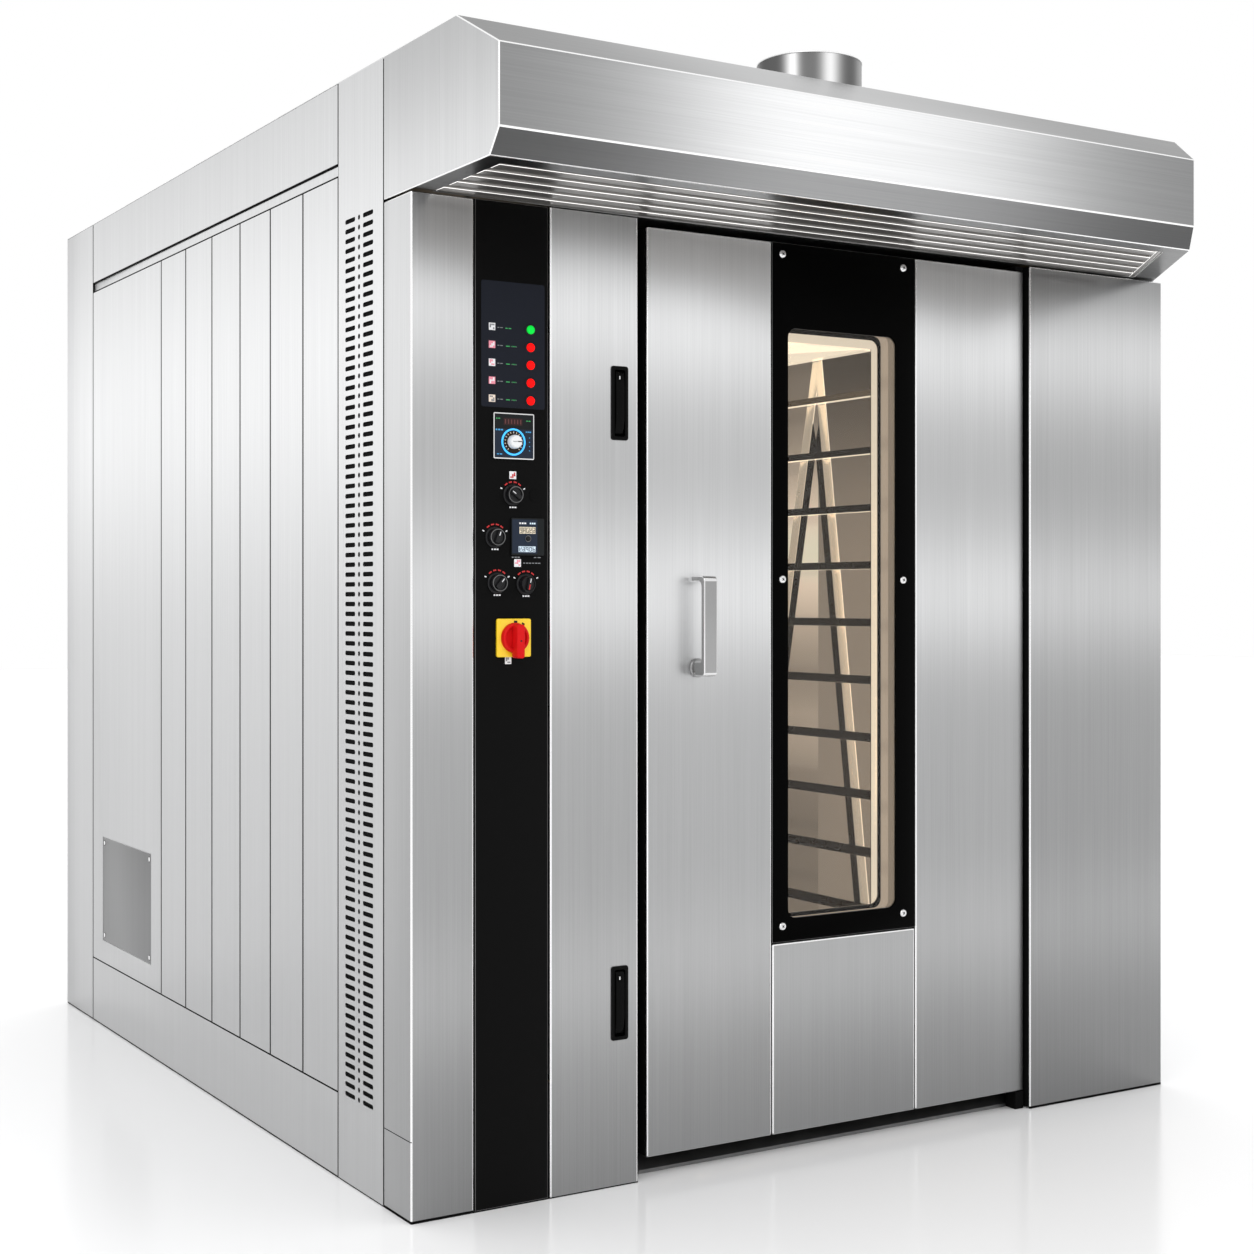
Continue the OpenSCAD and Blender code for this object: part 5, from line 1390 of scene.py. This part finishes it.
    def prints(self) -> None:
        """Lay the plain printed marks: tiles, caption dashes, scales and counters."""
        x, z = self.knob_x, self.dial_z
        column = Marks(self.finishes)
        tiles = (("print_cream", "print_grey"), ("print_pink", "print_white"), ("print_white", "print_pink"),
                 ("print_pink", "print_white"), ("print_white", "print_grey"))
        for number, (ground, ink) in enumerate(tiles):
            row = 1682 + 37.2 * number
            column.icon(184, row, 15, ground, ink, number + 2)
            column.dashes(195, 210, row - 1, 1.6, "print_grey", 2)
            column.dashes(214, 230 if number == 4 else 243, row - 1.5, 2.0, "print_green", 2)
            if number < 4:
                column.dashes(228, 243, row - 2, 1.4, "print_grey", 2)
        for cx, cz, caption in ((x, z - 110, 25), (x - 42, z - 199, 24), (x - 37, z - 294, 24),
                                (x + 31, z - 296, 24)):
            column.scale(cx, cz, 27, "print_white", "print_red")
            column.dashes(cx - 9, cx + 9, cz - caption - 1, 3.0, "print_white", 3)
        column.icon(x, z - 69, 16, "print_white", "print_red", 5)
        column.icon(244, z - 252, 16, "print_white", "print_pink", 8)
        column.dashes(256, 299, z - 252, 2.0, "print_grey", 6)
        column.icon(x - 11, z - 455, 15, "print_white", "print_grey", 4)
        column.dashes(229, 250, z - 240, 2.4, "print_grey", 3)
        column.dashes(281, 300, z - 240, 2.0, "print_grey", 2)
        fit(column.build("column_prints", -0.55), "casing", "knob_white")

        dial = Marks(self.finishes)
        mid = z + 12
        dial.bar(x - 1, mid + 30, 44, 15, "display_dark")
        for number in range(6):
            dial.bar(x - 19 + number * 7.2, mid + 30, 2.2, 9, "digit_red", layer=2)
        dial.dashes(x - 42, x - 31, mid + 36, 2.2, "print_green", 2)
        dial.dashes(x + 29, x + 41, mid + 33, 2.2, "print_green", 2)
        dial.dashes(x - 43, x - 24, mid + 12.5, 3.0, "print_blue", 3)
        dial.dashes(x + 28, x + 42, mid + 10, 2.6, "print_blue", 3)
        for number in range(4):
            dial.bar(x + 38, mid - 2 - number * 9, 2.4, 1.6, "print_blue")
        dial.dashes(x - 40, x - 26, mid - 38, 2.2, "print_blue", 2)
        fit(dial.build("thermostat_prints", -3.65), "casing", "knob_white")
        ticks = Marks(self.finishes)
        for degrees in range(-140, 141, 20):
            angle = math.radians(degrees)
            ink = "print_white" if degrees % 60 == 0 else "digit_pale"
            ticks.bar(x + 20 * math.sin(angle), z + 20 * math.cos(angle), 1.3, 3.6, ink, degrees)
        fit(ticks.build("thermostat_ticks", -4.25), "casing", "knob_white")

        timer = Marks(self.finishes)
        tx, tz = x + 34, z - 197
        timer.dashes(tx - 22, tx - 4, tz + 28, 3.4, "print_white", 3)
        timer.dashes(tx + 3, tx + 18, tz + 28, 3.4, "wheel_pale", 3)
        for number in range(5):
            timer.digit(tx - 17.2 + number * 7.8, tz + 13.5, 6.9, 14, "digit_pale", "scale_brown", number + 1)
            timer.digit(tx - 19 + number * 8.2, tz - 26, 7.6, 12, "wheel_pale", "instrument_navy", number + 4)
        fit(timer.build("timer_prints", -5.05), "casing", "knob_white")

        plate = Marks(self.finishes)
        plate.bar(x + 3, z - 408 + 33.5, 8, 5, "knob_black")
        plate.bar(x + 21, z - 408 + 29, 7, 4, "scale_brown", 30)
        fit(plate.build("switch_prints", -7.55), "casing", "knob_black")


@dataclass
class ServiceDoor:
    """Narrow door over the switch cabinet, with two swing handles.

    Attributes:
        finishes: The materials.
        trays: Heights of the swing-handle trays, in millimetres.
        tray_x: Distance of the trays' left edge from the casing's left side.
        hinges: Heights of the feet of the hinge sleeves.
    """

    finishes: Finishes
    trays: Tuple[float, float] = (315.0, 1608.0)
    tray_x: float = 472.0
    hinges: Tuple[float, ...] = (260.0, 1040.0, 1840.0)

    def build(self) -> None:
        """Build the door's sheet with a painted highlight on its rolled edges, its sleeves, the trays and the
        levers.
        """
        steel, bright = self.finishes["service_steel"], self.finishes["bright_fold"]
        sheet = Bench.prism("service_sheet", self.channel(322, 541, 20, 4), (0.0, 0.0, 2.089),
                            (steel, bright))
        # Painted highlight on the rolled edges.
        Bench.paint(sheet, 1, lambda face: abs(face.normal.x) > 0.15 and face.normal.y < -0.15)
        tools = []
        for z in self.trays:
            tools.append(Bench.block("slot", spot(475, -1, z + 3), spot(512, 4, z + 157)))
        for z in self.hinges:
            tools.append(Bench.block("notch", spot(321, 2, z - 14), spot(326, 22, z + 2)))
        Bench.cut(sheet, *tools)
        sleeves = []
        for z in self.hinges:
            sleeve = Bench.rod("sleeve", spot(328.5, 8, z + 1), spot(328.5, 8, z + 27), 5.4 * MM, (steel,),
                               24)
            Bench.cut(sleeve, Bench.rod("bore", spot(328.5, 8, z), spot(328.5, 8, z + 28), 3.3 * MM,
                                        steps=24))
            sleeves.append(sleeve)
        fit(Bench.join("service_door_sheet", [sheet] + sleeves), "service_door", "brushed_steel",
            "service_door")
        frames = [self.tray(z) for z in self.trays]
        fit(Bench.join("swing_handle_frames", frames), "service_door", "knob_black", "swing_handle_trays")
        for z, place in zip(self.trays, ("lower", "upper")):
            self.lever(z, f"swing_lever_{place}")

    @staticmethod
    def channel(x1: float, x2: float, depth: float, radius: float, sheet: float = 2.0) -> List[Point]:
        """Return the plan of a sheet with both edges rolled back, at the foot of the front."""
        outer, inner = [(x1, depth)], [(x1 + sheet, depth)]
        for step in range(5):
            angle = math.radians(22.5 * step)
            for ring, r in ((outer, radius), (inner, radius - sheet)):
                ring.append((x1 + radius - r * math.cos(angle), radius - r * math.sin(angle)))
        outer += [(x1 + x2 - x, y) for x, y in reversed(outer)]
        inner += [(x1 + x2 - x, y) for x, y in reversed(inner)]
        return [spot(x, y, 3) for x, y in outer + inner[::-1]]

    def tray(self, z: float) -> bpy.types.Object:
        """Build one black tray whose rounded frame edge is painted lighter as a highlight."""
        x = self.tray_x
        skins = (self.finishes["tray_black"], self.finishes["knob_black"])
        rim = Bench.prism("rim", rounded(x, x + 43, z, z + 160, 0, 6), (0, -2.5 * MM, 0), skins, 0.9 * MM)
        box = Bench.block("box", spot(x + 3.5, -0.5, z + 3.5), spot(x + 39.5, 16, z + 156.5), skins[:1])
        whole = Bench.join("tray", (rim, box))
        Bench.cut(whole, Bench.prism("pocket", rounded(x + 8, x + 35, z + 8, z + 152, -5, 4),
                                     (0, 19 * MM, 0)))
        return whole

    def lever(self, z: float, body: str) -> None:
        """Build one swing lever with its lock barrel."""
        x1, x2 = self.tray_x + 11, self.tray_x + 32
        foot, top = z + 18, z + 148
        side = ((2, foot - 4), (9, foot - 4), (10, foot + 6), (10, top - 4), (8, top), (0, top),
                (-4, top - 6), (-5, top - 30), (-5, foot + 30), (-2, foot + 8))
        grip = Bench.prism("grip", [spot(x1, y, h) for y, h in side], ((x2 - x1) * MM, 0, 0),
                           (self.finishes["tray_black"],), 1.6 * MM, 3)
        middle = (x1 + x2) / 2
        lock = Bench.turned("lock", ((0, 2), (6.4, 2), (6.4, 5.6), (5.6, 6.4), (0, 6.4)),
                            spot(middle, 0, top - 14),
                            (self.finishes["tray_black"],), 32)
        key = Bench.block("key", spot(middle - 4, -6.5, top - 17), spot(middle - 1.6, -6, top - 10),
                          (self.finishes["chrome"],))
        axle = Bench.rod("axle", spot(x1 - 4, 6, foot), spot(x2 + 4, 6, foot), 2.3 * MM,
                         (self.finishes["chrome"],), 16)
        fit(Bench.join(body + "_grip", (grip, lock, key, axle)), body, "knob_black", body)


@dataclass
class OvenDoor:
    """Hinged door with three steel leaves, a black glazed panel and a pull handle.

    Attributes:
        finishes: The materials.
        foot: Height of the door's lower edge in millimetres.
        head: Height of its upper edge.
        window: Left, right, bottom and top of the window.
    """

    finishes: Finishes
    foot: float = 45.0
    head: float = 2080.0
    window: Tuple[float, float, float, float] = (955.0, 1272.0, 534.0, 1887.0)

    def build(self) -> None:
        """Build the leaves, the pan, the window panel, the screws and the handle."""
        self.leaves()
        self.pan()
        self.panel()
        self.screws()
        self.handle()

    def pivots(self) -> List[bpy.types.Object]:
        """Return cutters for the two pivot bores."""
        return [Bench.rod("bore", spot(1667, 28, z), spot(1667, 28, z + 34), 8.6 * MM, steps=32)
                for z in (self.foot - 2, self.head - 32)]

    def leaves(self) -> None:
        """Build the three front sheets with a painted highlight on their rounded edges, left off at the foot.
        """
        spans = ((573, 908.5, self.head, "left_leaf_steel"), (1332.5, 1680, self.head, "right_leaf_steel"),
                 (911.5, 1329.5, 479, "right_leaf_steel"))
        made = [Bench.block("leaf", spot(x1, 15, self.foot), spot(x2, 24, top),
                            (self.finishes[finish], self.finishes["bright_fold"]), 3.4 * MM, 3)
                for x1, x2, top, finish in spans]
        # The foot's rounding keeps plain steel, without the painted highlight.
        hem = (self.foot + 3.4) * MM
        for leaf in made:
            Bench.paint(leaf, 0, lambda face: face.center.z < hem)
        whole = Bench.join("door_leaves", made)
        Bench.cut(whole, *self.pivots(),
                  Bench.rod("bore", spot(704, 10, 1113), spot(704, 30, 1113), 8 * MM, steps=32))
        fit(whole, "oven_door", "brushed_steel", "door_skins")

    def pan(self) -> None:
        """Build the insulated pan behind the leaves: sides painted dark as shade, a steel back and a polished
        reveal painted with lamplight.
        """
        x1, x2, z1, z2 = self.window
        skins = (self.finishes["seam_black"], self.finishes["dull_steel"], self.finishes["reveal_painted_light"])
        pan = Bench.block("door_pan", spot(573.5, 22, self.foot + 1), spot(1679.5, 86, self.head - 1), skins,
                          1.5 * MM)
        Bench.paint(pan, 1, lambda face: face.normal.y > 0.7)
        tools = [Bench.prism("view", rounded(x1, x2, z1, z2, 10, 22), (0, 90 * MM, 0)),
                 Bench.prism("reveal", rounded(x1 - 10, x2 + 10, z1 - 10, z2 + 10, 12, 22), (0, 72 * MM, 0)),
                 Bench.rod("bore", spot(704, 10, 1113), spot(704, 90, 1113), 8 * MM, steps=32),
                 Bench.block("pocket", spot(570, 56, 1049), spot(583, 90, 1177))]
        Bench.cut(pan, *self.pivots(), *tools)
        # Painted lamplight: the reveal's faces get the wall paint.
        low, high = spot(x1 - 12, 0, z1 - 12), spot(x2 + 12, 0, z2 + 12)
        Bench.paint(pan, 2, lambda face: abs(face.normal.y) < 0.7 and low[0] < face.center.x < high[0]
                    and low[2] < face.center.z < high[2])
        fit(pan, "oven_door", "wool", "door_core")

    def panel(self) -> None:
        """Build the black panel round the window, with a painted highlight on its rounded edges, and its thin
        bead.
        """
        x1, x2, z1, z2 = self.window
        panel = Bench.block("window_surround", spot(910, 15, 482), spot(1331, 18, self.head),
                            (self.finishes["window_black"], self.finishes["grey_trim_and_edge_highlight"]), 0.8 * MM)
        Bench.cut(panel, Bench.prism("view", rounded(x1, x2, z1, z2, 10, 22), (0, 12 * MM, 0)))
        fit(panel, "oven_door", "fascia_black", "window_panel")
        bead = Bench.prism("window_bead", rounded(x1 - 1, x2 + 1, z1 - 1, z2 + 1, 18, 23), (0, 3 * MM, 0),
                           (self.finishes["grey_trim_and_edge_highlight"],))
        Bench.cut(bead, Bench.prism("view", rounded(x1 + 1, x2 - 1, z1 + 1, z2 - 1, 16, 21), (0, 8 * MM, 0)))
        fit(bead, "oven_door", "gasket")

    def screws(self) -> None:
        """Build the six domed screws; each cross recess is a dark bar of painted shade."""
        x1, x2, _, _ = self.window
        parts = []
        for x in (x1 - 16, x2 + 22):
            for z in (518, (482 + self.head) / 2 + 30, self.head - 26):
                dome = ((9, 0), (9, 1.2), (7.8, 2.8), (5, 3.7), (0, 4.0))
                parts.append(Bench.turned("dome", dome, spot(x, 15, z), (self.finishes["chrome"],), 32))
                for turn in (35, 125):
                    cross = Bench.block("cross", spot(x - 4, 10.9, z - 0.9), spot(x + 4, 12, z + 0.9),
                                        (self.finishes["seam_black"],))
                    centre = Vector(spot(x, 11, z))
                    cross.data.transform(Matrix.Translation(centre) @ Matrix.Rotation(math.radians(turn), 4,
                                                                                      "Y")
                                         @ Matrix.Translation(-centre))
                    parts.append(cross)
        fit(Bench.join("window_screw_heads", parts), "oven_door", "chrome", "window_screws")

    def handle(self) -> None:
        """Build the pull handle: a round boss, and a flat bar that hooks back at its top, with a painted
        highlight in chrome on the bar's front ends and glowing back faces.
        """
        alloy = [self.finishes[name] for name in ("handle_alloy", "chrome", "glowing_handle_back")]
        x, z, face = 704.0, 1113.0, 15.0
        front, back = face - 56, face - 43
        top, low = z + 204, z - 17.5
        side = [(front, low + 8), (front + 3, low + 2), (front + 8, low), (face - 16, low),
                (face - 16, z + 15.5),
                (back + 4, z + 15.5), (back, z + 20)]
        side += [(back, top - 22), (back + 3, top - 16), (back + 9, top - 13), (face - 4, top - 13),
                 (face - 4, top)]
        side += [(front + 12, top), (front + 6, top - 1.6), (front + 1.6, top - 6), (front, top - 12)]
        bar = Bench.prism("bar", [spot(x - 17.5, y, h) for y, h in side], (35 * MM, 0, 0), alloy, 2.4 * MM, 3)
        shoulder, heel = (top - 14) * MM, (low + 9) * MM
        # Painted highlight: chrome on the bar's front ends; painted light: its back faces glow.
        Bench.paint(bar, 1, lambda face: face.normal.y < -0.1 and not heel < face.center.z < shoulder)
        Bench.paint(bar, 2, lambda face: face.normal.y > 0.5)
        boss = Bench.turned("boss", ((0, 0.3), (21, 0.3), (21, 6), (19.5, 8), (15, 8.6), (15, 26), (0, 26)),
                            spot(x, face, z), alloy[:1])
        fit(Bench.join("pull_handle", (bar, boss)), "door_handle", "handle_metal", "door_handle")


@dataclass
class Interior:
    """Rack inside the baking chamber, with painted light: faces towards the door or the floor painted bright
    and glowing, faces to the sides or upwards painted dark as shade.

    Attributes:
        finishes: The materials.
        apex: Place of the braces' upper screw behind the front plane and above the floor, in millimetres.
        feet: Places of the braces' lower screws behind the front plane.
        half: Half of a brace's width.
        shade: Width of the flange along a brace's inner edge, painted dark as shade.
    """

    finishes: Finishes
    apex: Tuple[float, float] = (525.0, 1910.0)
    feet: Tuple[float, float] = (279.0, 895.0)
    half: float = 17.0
    shade: float = 26.0

    def build(self) -> None:
        """Round the rack's profiles and posts and paint each face by where it looks: a painted highlight
        towards the door and the floor, painted shade to the sides and upwards.
        """
        skins = [self.finishes[name] for name in ("rack_steel", "rack_painted_highlight", "rack_shade")]
        rack = Bench.folded("rack_frame", "rack_profiles", 0.8 * MM, skins)
        Bench.paint(rack, 2, lambda face: abs(face.normal.x) > 0.7 or face.normal.z > 0.7)
        Bench.paint(rack, 1, lambda face: abs(face.normal.y) > 0.7 or face.normal.z < -0.7)
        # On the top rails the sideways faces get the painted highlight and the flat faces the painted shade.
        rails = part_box("rack_frame")[1][2] - 32 * MM
        for slot, axis in ((1, 0), (2, 2)):
            Bench.paint(rack, slot, lambda face: face.center.z > rails and abs(face.normal[axis]) > 0.7)
        fit(rack, "rotor", "rack_steel", "rack_frame")
        # The braces get a lighter steel that glows: painted light.
        skins[0] = self.finishes["brace_steel"]
        braces = Bench.folded("rack_braces", "rack_brace_bars", 1.2 * MM, skins)
        low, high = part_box("rack_braces")
        flanges = [self.flange(foot, low[2] / MM + self.half, (x - LEFT) / MM)
                   for foot in self.feet for x in (low[0] + 4.2 * MM, high[0] - 6.8 * MM)]
        fit(Bench.join("rack_brace_bars", [braces] + flanges), "rotor", "rack_steel", "rack_braces")

    def flange(self, foot: float, foot_z: float, x: float) -> bpy.types.Object:
        """Build the flange along the inner edge of the brace that stands on foot, painted dark as shade."""
        run, rise = self.apex[0] - foot, self.apex[1] - foot_z
        length = math.hypot(run, rise)
        inward = math.copysign(1.0, run)
        across = (inward * rise / length, -inward * run / length)
        corners = []
        for along, offset in ((0.03, 0.0), (0.90, 0.0), (0.87, self.shade), (0.03, self.shade)):
            reach = self.half + offset
            corners.append(spot(x, foot + along * run + reach * across[0],
                                foot_z + along * rise + reach * across[1]))
        return Bench.prism("flange", corners, (2.6 * MM, 0.0, 0.0), (self.finishes["rack_shade"],))


@dataclass
class Studio:
    """Camera, lamps, floor and background.

    Attributes:
        eye: The camera's place.
        yaw: How far the camera is turned to the right of +Y, in degrees.
        lens: Focal length on a 36 mm sensor.
        rise: Height of the horizon above the middle of the picture, as a share of its width.
        glow: Strength of the white room for reflections.
        fill: Strength of the white room for the floor and other matt surfaces.
    """

    eye: Point = (-2.7389, -4.6038, 1.2653)
    yaw: float = 31.616
    lens: float = 55.14
    rise: float = 0.0221
    glow: float = 1.0
    fill: float = 1.30

    def build(self) -> None:
        """Set up the whole studio."""
        self.camera()
        self.floor()
        self.world()
        self.lamps()
        scene = bpy.context.scene
        scene.view_settings.view_transform = "Standard"

    def camera(self) -> None:
        """Place the camera as the photographer's."""
        data = bpy.data.cameras.new("camera")
        data.lens = self.lens
        data.sensor_width = 36.0
        data.sensor_fit = "HORIZONTAL"
        data.shift_y = -self.rise
        data.clip_end = 100.0
        camera = bpy.data.objects.new("camera", data)
        camera.location = self.eye
        camera.rotation_euler = (math.radians(90), 0.0, -math.radians(self.yaw))
        bpy.context.scene.collection.objects.link(camera)
        bpy.context.scene.camera = camera

    def floor(self) -> None:
        """Lay a pale polished floor."""
        bpy.ops.object.select_all(action="DESELECT")
        bpy.ops.mesh.primitive_plane_add(size=60.0, location=(0.0, 0.0, 0.0))
        floor = bpy.context.object
        floor.name = "floor"
        recipe = Recipe("polished_floor")
        recipe.set(Base_Color=(0.95, 0.95, 0.955), Roughness=0.16, Specular_IOR_Level=0.6)
        floor.data.materials.append(recipe.material)

    def world(self) -> None:
        """Light the room evenly and show it white."""
        world = bpy.data.worlds.new("studio")
        world.use_nodes = True
        tree = world.node_tree
        tree.nodes.clear()
        output = tree.nodes.new("ShaderNodeOutputWorld")
        background = tree.nodes.new("ShaderNodeBackground")
        paths = tree.nodes.new("ShaderNodeLightPath")
        seen = tree.nodes.new("ShaderNodeMath")
        seen.operation = "MAXIMUM"
        level = tree.nodes.new("ShaderNodeMapRange")
        level.inputs["To Min"].default_value = self.fill
        level.inputs["To Max"].default_value = self.glow
        background.inputs["Color"].default_value = (1.0, 1.0, 1.0, 1.0)
        tree.links.new(paths.outputs["Is Camera Ray"], seen.inputs[0])
        tree.links.new(paths.outputs["Is Glossy Ray"], seen.inputs[1])
        tree.links.new(seen.outputs[0], level.inputs["Value"])
        tree.links.new(level.outputs[0], background.inputs["Strength"])
        tree.links.new(background.outputs[0], output.inputs["Surface"])
        bpy.context.scene.world = world

    def lamps(self) -> None:
        """Hang a soft box over the left front corner and warm lights in the chamber."""
        self.soft_box("key_box", (-3.2, -3.4, 4.2), (0.0, 0.0, 1.2), 3.0, 25.0, (1.0, 1.0, 1.0))
        warm = (1.0, 0.80, 0.56)
        self.soft_box("chamber_low", spot(700, 200, 700), spot(1660, 1000, 900), 0.4, 5.0, warm)
        self.soft_box("chamber_high", spot(700, 200, 1600), spot(1660, 1000, 1500), 0.4, 5.0, warm)

    @staticmethod
    def soft_box(name: str, place: Point, target: Point, size: float, power: float, colour: Colour) -> None:
        """Hang a square area lamp that points at target."""
        data = bpy.data.lights.new(name, "AREA")
        data.size = size
        data.energy = power
        data.color = colour
        lamp = bpy.data.objects.new(name, data)
        lamp.location = place
        lamp.rotation_euler = (Vector(target) - Vector(place)).to_track_quat("-Z", "Y").to_euler()
        bpy.context.scene.collection.objects.link(lamp)


@dataclass
class PlainNodes:
    """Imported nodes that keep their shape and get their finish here."""

    finishes: Finishes

    FINISH = {
        "zinc": ("base_frame",),
        "rubber": ("levelling_feet", "door_gasket"),
        "dull_steel": ("chamber_floor", "steam_generator", "fan_impeller", "hook_shaft", "castor_forks"),
        "casing_steel": ("corner_column", "side_panels", "side_columns", "side_bands", "rear_panels",
                         "right_front_panel", "vent_column", "service_door", "door_skins"),
        "roof_steel": ("roof_panels",),
        "plate_steel": ("access_plate",),
        "wool": ("mineral_wool",),
        "nickel": ("supply_fittings",),
        "column_black": ("control_fascia",),
        "lamp_red": ("indicator_lamps",),
        "instrument_black": ("thermostat_bezel", "timer_case"),
        "knob_black": ("selector_collars", "selector_knob_1", "selector_knob_2", "selector_knob_3",
                       "selector_knob_4", "swing_handle_trays", "swing_lever_upper", "swing_lever_lower"),
        "switch_yellow": ("switch_plate",),
        "hood_steel": ("hood_shell",),
        "slat_steel": ("hood_slats",),
        "collar_steel": ("exhaust_collar",),
        "chamber_steel": ("chamber_liner",),
        "wall_painted_light": ("air_panels",),
        "seam_black": ("door_frame", "door_fittings", "door_core"),
        "motor_blue": ("gearmotor", "fan_motor"),
        "element_metal": ("heater_bank",),
        "lamp_tube": ("chamber_lamps",),
        "relay_grey": ("switchgear", "timer_button"),
        "knob_white": ("thermostat_knob",),
        "switch_red": ("main_switch_knob",),
        "window_black": ("window_panel",),
        "door_glass": ("window_glass",),
        "chrome": ("window_screws",),
        "handle_alloy": ("door_handle",),
        "rack_steel": ("rack_frame", "rack_braces"),
        "wheel_resin": ("castor_wheel_1", "castor_wheel_2", "castor_wheel_3", "castor_wheel_4"),
    }

    def build(self) -> None:
        """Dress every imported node."""
        for finish, names in self.FINISH.items():
            for name in names:
                Bench.dress(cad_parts[name], self.finishes[finish])
                LOG.info("%s dressed as %s", name, finish)


def main() -> None:
    """Build the studio and every sub-assembly."""
    Studio().build()
    finishes = Finishes()
    PlainNodes(finishes).build()
    for assembly in (Casing, Hood, Controls, ServiceDoor, OvenDoor, Interior):
        assembly(finishes).build()


if __name__ == "__main__":
    main()
